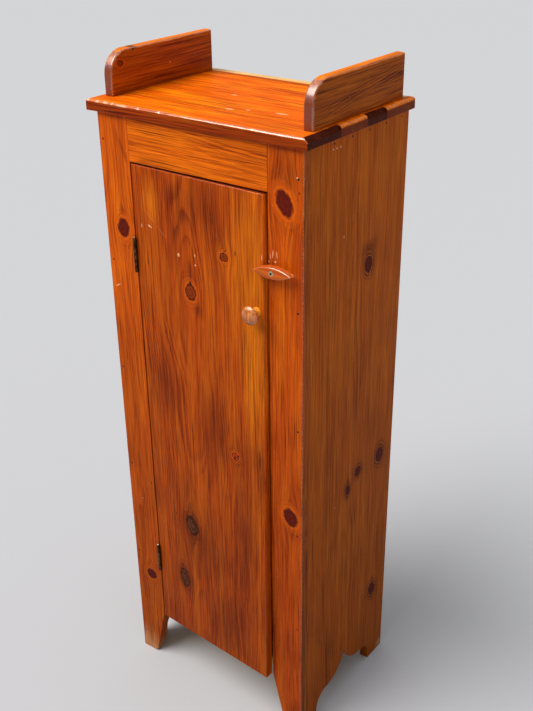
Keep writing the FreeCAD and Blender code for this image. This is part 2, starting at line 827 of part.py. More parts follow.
node(TOP_NAIL_GROUP, "top_cleat_nails")
node(BACK_NAIL_GROUP, "back_nails")
node(CLEAT_SCREW_GROUP, "shelf_cleat_screws")
node(TOP_SCREW_GROUP, "top_cleat_screws")
node(GALLERY_SCREW_GROUP, "gallery_screws")

# ---------------------------------------------------------------- door

def door_board():
    """One wide board, straight at the hinges and twisted out at the latch edge."""
    body = doc.addObject("PartDesign::Body", "door_blank")
    sections = []
    # the sketches' own across is counted from behind the twist, so that it stays positive
    for x, top, bottom in (("0", "0", "0"), ("door_width", "warp_top", "warp_bottom")):
        sketch = sketch_on(body, "YZ_Plane", x)
        draw(sketch, [
            (f"warp_bottom - {bottom}", "0"),
            (f"warp_bottom - {bottom} + door_thickness", "0"),
            (f"warp_bottom - {top} + door_thickness", "door_height"),
            (f"warp_bottom - {top}", "door_height"),
        ])
        sections.append(sketch)
    loft = body.newObject("PartDesign::AdditiveLoft", "door_loft")
    loft.Profile = sections[0]
    loft.Sections = sections[1:]
    loft.Ruled = True
    doc.recompute()
    return put(body, "door_left", "-warp_bottom", "door_floor_gap")


def knob_screw():
    """A pan-headed screw from inside the door into the knob."""
    back = "door_thickness - knob_seat"
    head = cylinder("knob_screw_head", ("knob_x", back, "knob_height"), "+y",
                    "screw_head_radius", "screw_head_height")
    shank = cylinder("knob_screw_shank", ("knob_x", back, "knob_height"), "-y",
                     "screw_radius", "door_thickness + knob_screw_depth")
    return fuse("knob_screw", head, shank)


def bowed(across, up, bulge):
    """Radius of an arc that leaves the straight line between its ends by the bulge."""
    return f"((({across}) ^ 2 + ({up}) ^ 2) / (8 * {bulge}) + {bulge} / 2)"


def knob():
    """A turned mushroom knob: a small foot, a waist and a domed head."""
    body = doc.addObject("PartDesign::Body", "knob_blank")
    sketch = sketch_on(body, "XZ_Plane")
    # across is the radius and up is the distance from the door
    waist = bowed("knob_base_radius - knob_neck_radius", "knob_waist_height",
                  "knob_waist_hollow")
    flare = bowed("knob_rim_radius - knob_neck_radius", "knob_flare_level - knob_neck_level",
                  "knob_flare_hollow")
    rim = bowed("0", "knob_rim_height", "knob_rim_bulge")
    dome = "(knob_rim_radius ^ 2 + knob_dome_height ^ 2) / (2 * knob_dome_height)"
    draw(sketch, [
        ("0", "0"),
        ("knob_base_radius", "0"),
        ("knob_base_radius", "knob_foot_height"),
        ("knob_neck_radius", "knob_neck_level", waist, "right"),
        ("knob_rim_radius", "knob_flare_level", flare, "right"),
        ("knob_rim_radius", "knob_rim_level", rim, "left"),
        ("0", "knob_length", dome, "left"),
    ])
    turned = body.newObject("PartDesign::Revolution", "knob_turned")
    turned.Profile = sketch
    turned.ReferenceAxis = (sketch, ["V_Axis"])
    turned.Angle = 360
    doc.recompute()
    # the sketch's up is turned to point away from the door
    body.Placement.Rotation = TURNS["-y"]
    put(body, "knob_x", "-knob_seat", "knob_height")
    return body


DOOR_BOARD = door_board()
KNOB_SCREW = knob_screw()
node(cut("door_panel", DOOR_BOARD,
         *[mortise(f"door_mortise_{side}", middle, 1) for side, middle in HINGES],
         DOOR_SCREW_GROUP, KNOB_SCREW), "door_panel")
# the knob's foot lies against the leaning board
node(cut("knob", knob(), DOOR_BOARD, KNOB_SCREW), "knob")
node(KNOB_SCREW, "knob_screw")
for side, middle in HINGES:
    name = side + "_hinge_door_leaf"
    node(cut(name, hinge_leaf(name, middle, 1), DOOR_SCREW_GROUP), name)
node(DOOR_SCREW_GROUP, "hinge_door_screws")
node(turn_button(), "turn_button")

# ---------------------------------------------------------------- check and write

doc.recompute()
for thing in doc.Objects:
    if "Invalid" in thing.State or "Error" in thing.State:
        raise RuntimeError(f"{thing.Label} did not compute: {thing.State}")
for thing in NODES:
    shape = thing.Shape
    if shape.isNull() or not shape.isValid() or not shape.Solids:
        raise RuntimeError(f"{thing.Label} has no valid solid")

os.makedirs("parts", exist_ok=True)
for thing in NODES:
    thing.Shape.exportStep(f"parts/{thing.Label}.step")

whole = Part.makeCompound([thing.Shape for thing in NODES]).BoundBox
print(len(NODES), "sub-parts,", round(whole.XLength, 2), "x", round(whole.YLength, 2), "x",
      round(whole.ZLength, 2), "mm, from", round(whole.XMin, 2), round(whole.YMin, 2),
      round(whole.ZMin, 2))
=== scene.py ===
# %% [markdown]
# # A tall pine dry sink cabinet
# The cabinet is a narrow cupboard of wide pine boards: two sides cut into feet, two stiles and a
# rail at the front, one door on butt hinges, and a moulded top between two rounded gallery ends.
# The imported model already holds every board, hinge and screw at its real place, so it is loaded
# first. Each board that shows is then modelled again with worn edges, and every surface gets a
# finish of its own.

import math
import bmesh
import bpy
from mathutils import Matrix, Vector


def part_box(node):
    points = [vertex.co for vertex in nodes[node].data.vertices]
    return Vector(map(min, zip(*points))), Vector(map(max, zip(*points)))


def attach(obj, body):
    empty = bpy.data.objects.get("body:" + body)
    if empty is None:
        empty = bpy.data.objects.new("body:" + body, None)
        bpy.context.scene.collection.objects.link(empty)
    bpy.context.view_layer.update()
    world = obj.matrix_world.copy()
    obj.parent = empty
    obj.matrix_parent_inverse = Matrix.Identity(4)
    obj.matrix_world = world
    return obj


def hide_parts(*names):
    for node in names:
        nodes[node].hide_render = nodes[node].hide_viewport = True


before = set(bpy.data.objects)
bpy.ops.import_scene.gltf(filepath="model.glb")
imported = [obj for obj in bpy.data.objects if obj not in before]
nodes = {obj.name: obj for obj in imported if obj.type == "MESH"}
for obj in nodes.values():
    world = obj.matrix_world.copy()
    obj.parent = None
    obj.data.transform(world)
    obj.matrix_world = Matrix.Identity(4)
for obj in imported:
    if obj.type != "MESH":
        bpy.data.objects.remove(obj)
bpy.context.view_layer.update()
print("nodes in the frame:", len(nodes))

# %% [markdown]
# ## Measuring in millimetres
# A cabinet maker measures from the left side, from the face of the stiles and from the floor.
# The frame counts in metres from the middle of the base, so small functions turn a maker's
# measure into a place in the frame and back. They read their zero from the boards themselves.

# %% A maker's measures
MM = 0.001
AXES = {"X": 0, "Y": 1, "Z": 2}
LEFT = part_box("left_side")[0].x
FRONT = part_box("left_stile")[0].y


def spot(x, y, z):
    """A place given from the left side, the stiles' face and the floor, in millimetres."""
    return Vector((LEFT + x * MM, FRONT + y * MM, z * MM))


def in_measure(place):
    """The same the other way: a place in the frame, in the maker's millimetres."""
    return Vector(((place.x - LEFT) / MM, (place.y - FRONT) / MM, place.z / MM))


def measure(name):
    """The lowest and highest corner of a frame node, in the maker's millimetres."""
    low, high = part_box(name)
    corner = Vector((LEFT, FRONT, 0))
    return (low - corner) / MM, (high - corner) / MM


print("cabinet", round(measure("right_side")[1].x), "mm wide; top at",
      round(measure("top_board")[1].z), "mm")

# %% [markdown]
# ## The camera
# The camera stands at head height, in front and to the right, and looks down on the cabinet. A
# camera can be aimed with a constraint, or its turn can be worked out once. Here three angles say
# it: how far round it stands, how far it looks down, and a slight roll.

# %% Camera
CAMERA_PLACE = Vector((1.00917, -1.28467, 1.56959))
CAMERA_ROUND = 37.08
CAMERA_DOWN = 27.46
CAMERA_ROLL = -0.77
CAMERA_LENS = 50.08
CAMERA_SENSOR = 36

turn = Matrix.Rotation(math.radians(CAMERA_ROUND), 4, "Z")
turn = turn @ Matrix.Rotation(math.radians(90 - CAMERA_DOWN), 4, "X")
turn = turn @ Matrix.Rotation(math.radians(CAMERA_ROLL), 4, "Z")
bpy.ops.object.camera_add()
camera = bpy.context.object
camera.name = "camera"
camera.data.lens = CAMERA_LENS
camera.data.sensor_width = CAMERA_SENSOR
camera.matrix_world = Matrix.Translation(CAMERA_PLACE) @ turn
bpy.context.scene.camera = camera
print("camera at", tuple(round(value, 3) for value in CAMERA_PLACE))

# %% [markdown]
# ## Soft light and a pale floor
# Varnished pine shows its colour best under one broad, soft light from the front left. A sun lamp
# lights the near and the far alike, so the floor stays even, and its wide angle keeps the
# shadows soft. It is a round disc in the varnish, so each rounded edge catches a thin highlight.
# The right side is lit by the room alone and stays darker, which lets the corner read. The view
# is set to Standard, so that colours come out as they were mixed.

# %% Floor and lamp
def nothing_selected():
    """Leave edit mode and let go of every object."""
    if bpy.context.object and bpy.context.object.mode != "OBJECT":
        bpy.ops.object.mode_set(mode="OBJECT")
    bpy.ops.object.select_all(action="DESELECT")


nothing_selected()
FLOOR_SIZE = 60
bpy.ops.mesh.primitive_plane_add(size=FLOOR_SIZE, location=(0, 0, 0))
floor = bpy.context.object
floor.name = "floor"
floor_paint = bpy.data.materials.new("pale_floor")
floor_paint.use_nodes = True
floor_sockets = floor_paint.node_tree.nodes["Principled BSDF"].inputs
floor_sockets["Base Color"].default_value = (0.50, 0.50, 0.51, 1)
floor_sockets["Roughness"].default_value = 0.9
floor_sockets["Specular IOR Level"].default_value = 0.1
floor.data.materials.append(floor_paint)

LAMP_FROM = Vector((-0.33, -0.49, 0.81))
LAMP_STRENGTH = 3.2
LAMP_ANGLE = 44
bpy.ops.object.light_add(type="SUN", location=LAMP_FROM * 4)
soft_lamp = bpy.context.object
soft_lamp.name = "soft_lamp"
soft_lamp.rotation_euler = (-LAMP_FROM).to_track_quat("-Z", "Y").to_euler()
soft_lamp.data.energy = LAMP_STRENGTH
soft_lamp.data.angle = math.radians(LAMP_ANGLE)
soft_lamp.data.color = (1.0, 0.98, 0.95)
bpy.context.scene.view_settings.view_transform = "Standard"
print("lamp turned to", [round(math.degrees(part)) for part in soft_lamp.rotation_euler])

# %% [markdown]
# ## Picking edges by their place
# By hand one clicks on the edges to round. In code they are picked by a small rule, which gets
# the places of a part's corners in the maker's millimetres and says yes or no. Rules can be
# joined, so "the front edges, but not those at the floor" stays readable.

# %% Rules for picking
def at(axis, level, slack=0.05):
    """A rule: all corners of a part lie at this level of this axis."""
    return lambda places: all(abs(place[AXES[axis]] - level) < slack for place in places)


def between(axis, start, end):
    """A rule: all corners lie between two levels of this axis."""
    return lambda places: all(start < place[AXES[axis]] < end for place in places)


def all_of(*rules):
    return lambda places: all(rule(places) for rule in rules)


def any_of(*rules):
    return lambda places: any(rule(places) for rule in rules)


def none_of(*rules):
    return lambda places: not any(rule(places) for rule in rules)


def pick(kind, chosen):
    """Select the open piece's corners (VERT) or edges (EDGE) that the rule says yes to."""
    bpy.ops.mesh.select_mode(type=kind)
    bpy.ops.mesh.select_all(action="DESELECT")
    mesh = bmesh.from_edit_mesh(bpy.context.object.data)
    count = 0
    for part in mesh.verts if kind == "VERT" else mesh.edges:
        corners = [part] if kind == "VERT" else part.verts
        if chosen([in_measure(corner.co) for corner in corners]):
            part.select_set(True)
            count += 1
    bmesh.update_edit_mesh(bpy.context.object.data)
    return count


print("rules for picking ready")

# %% [markdown]
# ## Shaping a board
# A plain board starts as a cube sized to its box and is shaped in edit mode: corners are pushed
# over, picked edges get a bevel, and even cuts give the long boards enough points to show wear.
# Loop cuts would do for the last, but they need the mouse, and a bisect needs only a plane.

# %% Board helpers
def start_board(name, low, high):
    """A cube added at the middle of its box and sized to it, left open in edit mode."""
    nothing_selected()
    low, high = Vector(low), Vector(high)
    bpy.ops.mesh.primitive_cube_add(size=1, location=spot(*((low + high) / 2)),
                                    scale=(high - low) * MM)
    board = bpy.context.object
    board.name = name
    bpy.ops.object.transform_apply(location=True, rotation=True, scale=True)
    bpy.ops.object.mode_set(mode="EDIT")
    return board


def shift(x, y, z):
    """Move what is selected, in millimetres."""
    bpy.ops.transform.translate(value=(x * MM, y * MM, z * MM))


def cut_across(axis, levels):
    """Cut the open piece right through at each level of one axis."""
    for level in levels:
        place, facing = Vector((0, 0, 0)), Vector((0, 0, 0))
        place[AXES[axis]] = level
        facing[AXES[axis]] = 1
        bpy.ops.mesh.select_all(action="SELECT")
        bpy.ops.mesh.bisect(plane_co=spot(*place), plane_no=facing)


def even_cuts(axis, low, high, spacing):
    count = max(1, round((high - low) / spacing))
    cut_across(axis, [low + (high - low) * index / count for index in range(1, count)])


def round_over(width, segments, rule):
    """Round the edges that the rule picks."""
    count = pick("EDGE", rule)
    if count:
        bpy.ops.mesh.bevel(offset=width * MM, offset_type="OFFSET", segments=segments,
                           profile=0.5, affect="EDGES", clamp_overlap=True)
    return count


print("board helpers ready")

# %% [markdown]
# ## Modifiers, applied at once
# A modifier can stay live on a piece, which is handy while one tries its settings. Here each is
# applied as soon as it is set, because the next step works on the shape that it leaves. Where
# wood is taken off in one bite, a rough tool is modelled and cut away with a Boolean.

# %% Modifier helpers
def change(piece, kind, **settings):
    """Add a modifier to a piece, set it up and apply it."""
    nothing_selected()
    bpy.context.view_layer.objects.active = piece
    piece.select_set(True)
    modifier = piece.modifiers.new(kind.lower(), kind)
    for name, value in settings.items():
        setattr(modifier, name, value)
    bpy.ops.object.modifier_apply(modifier=modifier.name)


def cut_away(piece, tool):
    """Take the tool's shape out of the piece, and the tool out of the scene."""
    change(piece, "BOOLEAN", operation="DIFFERENCE", solver="EXACT", object=tool)
    bpy.data.objects.remove(tool)


print("modifier helpers ready")

# %% [markdown]
# ## Tracing an outline
# A curved board starts as one point. Its path is traced round the outline with straight lines
# and arcs, as with a pencil and compass, then filled and pulled out to the board's thickness.
# Turned pieces use the same tracing: half a profile is drawn and spun once round, as on a lathe.

# %% Outline helpers
MERGE = 0.01 * MM
LATHE_MERGE = 0.02 * MM


def start_outline(name, place):
    """One point, from which an outline is traced."""
    nothing_selected()
    bpy.ops.mesh.primitive_plane_add(size=MM, location=place)
    outline = bpy.context.object
    outline.name = name
    bpy.ops.object.transform_apply(location=True, rotation=True, scale=True)
    bpy.ops.object.mode_set(mode="EDIT")
    bpy.ops.mesh.select_mode(type="VERT")
    bpy.ops.mesh.select_all(action="SELECT")
    bpy.ops.mesh.merge(type="CENTER")
    return outline


def trace(x, y, z):
    """Draw a straight line on from the last point."""
    bpy.ops.mesh.extrude_vertices_move(
        TRANSFORM_OT_translate={"value": (x * MM, y * MM, z * MM)})


def trace_arc(centre, degrees, axis, *, steps):
    """Draw an arc on from the last point, turning the right-handed way round the axis."""
    bpy.ops.mesh.spin(steps=steps, angle=-math.radians(degrees), center=centre, axis=axis)


def fill_and_raise(x, y, z):
    """Fill the traced outline and pull it out to the board's thickness."""
    bpy.ops.mesh.select_all(action="SELECT")
    bpy.ops.mesh.remove_doubles(threshold=MERGE)
    bpy.ops.mesh.edge_face_add()
    bpy.ops.mesh.extrude_region_move(
        TRANSFORM_OT_translate={"value": (x * MM, y * MM, z * MM)})
    bpy.ops.mesh.select_all(action="SELECT")
    bpy.ops.mesh.normals_make_consistent(inside=False)


def turn_on_lathe(centre, *, steps):
    """Spin the traced profile once round, from front to back, and close its seam."""
    bpy.ops.mesh.select_all(action="SELECT")
    bpy.ops.mesh.spin(steps=steps, angle=math.radians(360), center=centre, axis=(0, 1, 0))
    bpy.ops.mesh.select_all(action="SELECT")
    bpy.ops.mesh.remove_doubles(threshold=LATHE_MERGE)
    bpy.ops.mesh.normals_make_consistent(inside=False)


print("outline helpers ready")

# %% [markdown]
# ## Worn edges
# A new board has crisp, straight edges. On an old one they waver, because each knock pressed the
# soft wood in a little. Moving points by hand would take days, so the points on the rounded edges
# are found by their slanted normals, gathered in a vertex group, and pushed inwards by a
# Displace modifier that reads a cloudy texture. The broad faces stay flat.

# %% Edge ageing
FLAT_ENOUGH = 0.985
SMOOTH_ANGLE = 35


def clouds(name, size):
    """A cloudy texture for a Displace modifier, its size in millimetres."""
    texture = bpy.data.textures.new(name, "CLOUDS")
    texture.noise_scale = size * MM
    texture.noise_depth = 2
    return texture


def smooth_shading(piece):
    """Shade the rounded edges smoothly and let the broad faces look flat."""
    nothing_selected()
    bpy.context.view_layer.objects.active = piece
    piece.select_set(True)
    bpy.ops.object.shade_smooth_by_angle(angle=math.radians(SMOOTH_ANGLE))
    change(piece, "WEIGHTED_NORMAL", weight=60, keep_sharp=True)


def age_edges(piece, depth=0.7, size=14):
    """Press the slanted edges of a piece in by up to depth, unevenly, and smooth its shading."""
    nothing_selected()
    group = piece.vertex_groups.new(name="edges")
    slanted = [point.index for point in piece.data.vertices
               if max(abs(part) for part in point.normal) < FLAT_ENOUGH]
    group.add(slanted, 1.0, "REPLACE")
    change(piece, "DISPLACE", texture=clouds(piece.name + "_knocks", size),
           texture_coords="LOCAL", vertex_group="edges", strength=depth * MM, mid_level=1.0)
    piece.vertex_groups.clear()
    smooth_shading(piece)


def settle(piece, body, replaced):
    """Let a finished piece ride its body in place of a frame node."""
    nothing_selected()
    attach(piece, body)
    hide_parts(replaced)
    print(piece.name, "has", len(piece.data.polygons), "faces and stands for", replaced)


print("edge ageing ready")

# %% [markdown]
# ## Stiles
# A stile is the upright board at each side of the front. Its inner edge runs in towards the floor
# and leaves a tapered foot. It could be traced, but it is nearly a plain board, so a cube does:
# one cut where the taper starts, and the lower inner corners are pushed over. The outer front
# edge and the foot's inner corner are rounded by wear, and the joints keep a hair's breadth of
# round, which draws the thin shadow between two boards.

# %% Stiles
BOARD_STEP = 9
TAPER_HEIGHT = 119
FOOT_WIDTH = 38
FOOT_ROUND = 5
SOLE_ROUND = 1
JOINT_ROUND = 0.5
ARRIS = 1.5


def build_stile(side):
    low, high = measure(side + "_stile")
    stile = start_board(side + "_stile_board", low, high)
    inner, outer, inward = (high.x, low.x, 1) if side == "left" else (low.x, high.x, -1)
    narrow = (high.x - low.x) - FOOT_WIDTH
    cut_across("Z", [TAPER_HEIGHT])
    pick("VERT", all_of(at("X", inner), at("Z", low.z)))
    shift(-inward * narrow, 0, 0)
    foot = sorted((outer + inward * FOOT_ROUND, outer + inward * (FOOT_WIDTH + 1)))
    round_over(FOOT_ROUND, 4, all_of(at("Z", low.z), between("X", *foot)))
    round_over(ARRIS, 3, all_of(at("X", outer), at("Y", low.y)))
    round_over(JOINT_ROUND, 2, all_of(at("Y", low.y), none_of(
        at("X", outer, 2), at("Z", low.z), at("Z", high.z), at("Z", TAPER_HEIGHT))))
    round_over(SOLE_ROUND, 2, at("Z", low.z))
    even_cuts("Z", low.z, high.z, BOARD_STEP)
    age_edges(stile)
    settle(stile, "cabinet", side + "_stile")
    return stile


left_stile = build_stile("left")
right_stile = build_stile("right")

# %% [markdown]
# ## Rail
# The rail is the short board that joins the stiles above the door. Nothing rubs it there, so its
# edges keep only the fine round of a joint and take fewer knocks. Its grain runs sideways, so the
# cuts for the knocks do too.

# %% Rail
low, high = measure("top_rail")
rail = start_board("top_rail_board", low, high)
round_over(JOINT_ROUND, 2, all_of(at("Y", low.y), none_of(at("Z", high.z))))
even_cuts("X", low.x, high.x, BOARD_STEP)
age_edges(rail, depth=0.4)
settle(rail, "cabinet", "top_rail")

# %% [markdown]
# ## Sides with feet
# Each side is one wide board. Its lower end is sawn to a shape like a brace: a foot at each
# corner, a hollow shoulder, and two sweeps that meet in a point. The outline is traced once round
# with straight lines and arcs, which is how a maker draws it on the board with rule and compass.

# %% Sides
FOOT_LENGTH = 55
FOOT_RISE = 15
SHOULDER = 35
PEAK = 101
SAWN_ROUND = 0.8
ROUND_X = (1, 0, 0)


def build_side(side):
    low, high = measure(side + "_side")
    outer, inward = (low.x, high.x - low.x) if side == "left" else (high.x, low.x - high.x)
    front_hollow = FOOT_LENGTH + SHOULDER
    back_hollow = high.y - front_hollow
    run = high.y / 2 - front_hollow
    rise = PEAK - FOOT_RISE - SHOULDER
    sweep = (run ** 2 + rise ** 2) / (2 * rise)
    sweep_turn = math.degrees(math.asin(run / sweep))
    sweep_level = FOOT_RISE + SHOULDER + sweep
    board = start_outline(side + "_side_board", spot(outer, low.y, low.z))
    trace(0, FOOT_LENGTH - low.y, 0)
    trace(0, 0, FOOT_RISE)
    trace_arc(spot(outer, front_hollow, FOOT_RISE), -90, ROUND_X, steps=10)
    trace_arc(spot(outer, front_hollow, sweep_level), sweep_turn, ROUND_X, steps=12)
    trace_arc(spot(outer, back_hollow, sweep_level), sweep_turn, ROUND_X, steps=12)
    trace_arc(spot(outer, back_hollow, FOOT_RISE), -90, ROUND_X, steps=10)
    trace(0, 0, -FOOT_RISE)
    trace(0, FOOT_LENGTH, 0)
    trace(0, 0, high.z)
    trace(0, low.y - high.y, 0)
    trace(0, 0, -high.z)
    fill_and_raise(inward, 0, 0)
    round_over(ARRIS, 3, all_of(at("X", outer), at("Y", high.y)))
    round_over(SAWN_ROUND, 2, all_of(at("X", outer), between("Z", -1, PEAK + 1),
                                     between("Y", low.y + 1, high.y + 1)))
    even_cuts("Z", low.z, high.z, BOARD_STEP)
    age_edges(board)
    settle(board, "cabinet", side + "_side")
    return board


left_side = build_side("left")
right_side = build_side("right")

# %% [markdown]
# ## The top
# The top is one board that stands over the front and the ends. Its upper edges are rounded with a
# plane, the lower ones only broken, and its back edge is left as sawn. A cube with two bevels of
# different width gives that, and close cuts let the edges take small knocks.

# %% Top
TOP_ROUND = 4.5
UNDER_ROUND = 1
TOP_STEP_WIDE = 7
TOP_STEP_DEEP = 6

low, high = measure("top_board")
top = start_board("top_board_moulded", low, high)
round_over(TOP_ROUND, 4, all_of(at("Z", high.z), none_of(at("Y", high.y))))
round_over(UNDER_ROUND, 2, all_of(at("Z", low.z), none_of(at("Y", high.y))))
even_cuts("X", low.x, high.x, TOP_STEP_WIDE)
even_cuts("Y", low.y, high.y, TOP_STEP_DEEP)
print("top", round(high.x - low.x), "by", round(high.y - low.y), "mm")

# %% [markdown]
# ## The worn stretches
# Years of carrying have worn two stretches of the top's right edge down to a rough slope. A wide
# bevel would leave them too smooth. So a wedge is modelled for each, its surface is roughened
# with a cloudy Displace, and the top loses what the wedge takes away.

# %% The worn stretches
WORN = [(-7, 82), (157, 215)]
WORN_WIDTH = 7
WORN_DEPTH = 8
WORN_ROUGH = 2.2
WORN_STEP = 5

for count, (start, end) in enumerate(WORN):
    # the first wedge starts a little in front of the board, so that it cuts right through
    past = 1 if count == 0 else 0
    wedge = start_board(f"wear_wedge_{count}",
                        (high.x - 2 * WORN_WIDTH, start - past, high.z - 2 * WORN_DEPTH),
                        (high.x + WORN_WIDTH, end, high.z + WORN_DEPTH))
    pick("VERT", all_of(between("X", 0, high.x - 1), between("Z", 0, high.z - 1)))
    shift(3 * WORN_WIDTH, 0, 0)
    even_cuts("Y", start, end, WORN_STEP)
    bpy.ops.mesh.select_all(action="SELECT")
    bpy.ops.mesh.subdivide(number_cuts=3)
    change(wedge, "DISPLACE", texture=clouds("worn_wood", 12), texture_coords="LOCAL",
           strength=WORN_ROUGH * MM)
    cut_away(top, wedge)
age_edges(top, depth=0.8, size=10)
settle(top, "cabinet", "top_board")

# %% [markdown]
# ## Gallery ends
# Two low boards stand on the top and keep things from falling off. Each has one large rounded
# front corner, and its upper edges are rounded all along. The outline is traced with one arc.

# %% Gallery ends
GALLERY_ROUND = 40
GALLERY_ARRIS = 3.2
GALLERY_BACK_ROUND = 1.2
GALLERY_STEP = 5


def build_gallery_end(side):
    low, high = measure(side + "_gallery_end")
    end = start_outline(side + "_gallery_board", spot(low.x, low.y, low.z))
    trace(0, 0, high.z - low.z - GALLERY_ROUND)
    corner = spot(low.x, low.y + GALLERY_ROUND, high.z - GALLERY_ROUND)
    trace_arc(corner, -90, ROUND_X, steps=14)
    trace(0, high.y - low.y - GALLERY_ROUND, 0)
    trace(0, 0, low.z - high.z)
    trace(0, low.y - high.y, 0)
    fill_and_raise(high.x - low.x, 0, 0)
    faces = any_of(at("X", low.x), at("X", high.x))
    round_over(GALLERY_ARRIS, 3, all_of(faces, none_of(at("Z", low.z), at("Y", high.y))))
    round_over(GALLERY_BACK_ROUND, 2, all_of(faces, at("Y", high.y)))
    even_cuts("Y", low.y, high.y, GALLERY_STEP)
    age_edges(end, depth=1.1, size=8)
    settle(end, "cabinet", side + "_gallery_end")
    return end


left_gallery = build_gallery_end("left")
right_gallery = build_gallery_end("right")

# %% [markdown]
# ## The door
# The door is one wide board that has twisted: along its latch edge it stands out from the frame,
# a little at the top and more at the bottom, while the hinge edge stays flush. Moving the two
# latch corners of a plain board gives that twist, and the cuts made afterwards turn each flat
# face into a true winding one.

# %% Door
PROUD_TOP = 5
PROUD_BOTTOM = 16
DOOR_THICK = 18
DOOR_ROUND = 1.3
DOOR_STEP_WIDE = 20
DOOR_MARGIN = 3

low, high = measure("door_panel")
low.y, high.y = 0, DOOR_THICK
door = start_board("door_board", low, high)
for level, proud in ((high.z, PROUD_TOP), (low.z, PROUD_BOTTOM)):
    pick("VERT", all_of(at("X", high.x), at("Z", level)))
    shift(0, -proud, 0)
even_cuts("Z", low.z, high.z, BOARD_STEP)
even_cuts("X", low.x, high.x, DOOR_STEP_WIDE)
cut_across("X", [low.x + DOOR_MARGIN, high.x - DOOR_MARGIN])
door_low, door_high = low, high


def door_warp(x, z):
    """How far the door's face stands out from the frame at a place."""
    falling = (door_high.z - z) / (door_high.z - door_low.z)
    share = (x - door_low.x) / (door_high.x - door_low.x)
    return (PROUD_TOP + (PROUD_BOTTOM - PROUD_TOP) * falling) * share


def on_door_face(places):
    """A rule: all corners lie on the door's winding front face."""
    return all(abs(place.y + door_warp(place.x, place.z)) < 0.05 for place in places)


rim = any_of(at("X", low.x), at("X", high.x), at("Z", low.z), at("Z", high.z))
rounded = round_over(DOOR_ROUND, 3, all_of(on_door_face, rim))
age_edges(door, depth=0.8)
settle(door, "door", "door_panel")
print("rounded", rounded, "lengths of the door's rim")

# %% [markdown]
# ## The knob
# The knob is turned wood: a small foot against the door, a narrow waist and a broad domed head.
# A lathe makes it by turning a profile, and Spin does the same: half of the outline is traced
# from the door outwards and spun once round its own axis. Each pair in the profile is a radius
# and how far out it lies. The foot is sunk a little, because the door's face is winding.

# %% Knob
KNOB_X = 335
KNOB_Z = 900
KNOB_SUNK = 0.4
KNOB_PROFILE = [(8.0, 0), (8.1, 1.4), (7.4, 2.6), (6.3, 5), (5.9, 8), (6.2, 11), (7.6, 14),
                (10.4, 16.2), (13.6, 17.4), (15.6, 18.6), (16.5, 20.4), (15.9, 22.2),
                (13.4, 24.4), (9.4, 26.6), (4.8, 27.7), (0, 28)]

knob_foot = spot(KNOB_X, KNOB_SUNK - door_warp(KNOB_X, KNOB_Z), KNOB_Z)
knob = start_outline("turned_knob", knob_foot)
radius, reach = 0, 0
for next_radius, next_reach in KNOB_PROFILE:
    trace(next_radius - radius, reach - next_reach, 0)
    radius, reach = next_radius, next_reach
turn_on_lathe(knob_foot, steps=40)
change(knob, "SUBSURF", levels=1, render_levels=1)
bpy.ops.object.shade_smooth()
settle(knob, "door", "knob")

# %% [markdown]
# ## The turn button
# A lens of wood turns on one screw and holds the door shut. Its outline is two equal arcs that
# meet in points. It hangs a little askew, so the centre of each arc is worked out on a tilted
# line, and only the front edge is rounded, as a hand would feel it.

# %% Turn button
BUTTON_X = 371.5
BUTTON_Z = 978
BUTTON_TILT = 2.5
BUTTON_ROUND = 2.6
HALF_LENGTH = 37.5
HALF_WIDTH = 10
ROUND_Y = (0, 1, 0)
button_low, button_high = measure("turn_button")
lens_radius = (HALF_LENGTH ** 2 + HALF_WIDTH ** 2) / (2 * HALF_WIDTH)
lens_turn = 2 * math.degrees(math.asin(HALF_LENGTH / lens_radius))


def on_button(along, up):
    """A place on the button's front face, along it and square to it from its screw."""
    cosine, sine = math.cos(math.radians(BUTTON_TILT)), math.sin(math.radians(BUTTON_TILT))
    return spot(BUTTON_X + along * cosine - up * sine, button_low.y,
                BUTTON_Z + along * sine + up * cosine)


button = start_outline("turn_button_lens", on_button(-HALF_LENGTH, 0))
for centre in (on_button(0, HALF_WIDTH - lens_radius), on_button(0, lens_radius - HALF_WIDTH)):
    trace_arc(centre, lens_turn, ROUND_Y, steps=18)
fill_and_raise(0, button_high.y - button_low.y, 0)
round_over(BUTTON_ROUND, 4, at("Y", button_low.y))
print("each side of the button is an arc of", round(lens_radius, 1), "mm")

# %% [markdown]
# ## The button's screw hole
# The screw's head sinks into a cone in the wood. A drill with a cone on it makes such a hole in
# one go, so a drill is modelled in the same way as the knob, and its shape is cut away. It starts
# a little in front of the wood, so that the cut goes clean through.

# %% The button's screw hole
HOLE_RADIUS = 2.27
SINK_RADIUS = 4.54
SINK_DEPTH = 2.47
PAST = 1

slope = (SINK_RADIUS - HOLE_RADIUS) / SINK_DEPTH
drill_start = spot(BUTTON_X, button_low.y - PAST, BUTTON_Z)
drill = start_outline("drill", drill_start)
trace(SINK_RADIUS + PAST * slope, 0, 0)
trace(HOLE_RADIUS - SINK_RADIUS - PAST * slope, PAST + SINK_DEPTH, 0)
trace(0, button_high.y - button_low.y + PAST - SINK_DEPTH, 0)
trace(-HOLE_RADIUS, 0, 0)
turn_on_lathe(drill_start, steps=24)
cut_away(button, drill)
smooth_shading(button)
settle(button, "turn_button", "turn_button")

# %% [markdown]
# ## Building shader nodes as sums
# A finish like pine is a long chain of small sums. Each Math node can be added and linked by
# hand, but then the sum is hard to read. Here a socket is wrapped as a Value, which Python can
# add and multiply: each sign adds one Math node to the tree that was opened last.

# %% Shader sums
bench = {"tree": None}


def work_in(tree):
    """Every shader node made from here on goes into this tree."""
    bench["tree"] = tree


def node(kind, **settings):
    made = bench["tree"].nodes.new("ShaderNode" + kind)
    for name, value in settings.items():
        setattr(made, name, value)
    return made


def feed(socket, value):
    """Link another node's value, or set a plain number, vector or colour."""
    if isinstance(value, Value):
        bench["tree"].links.new(value.socket, socket)
    else:
        socket.default_value = value


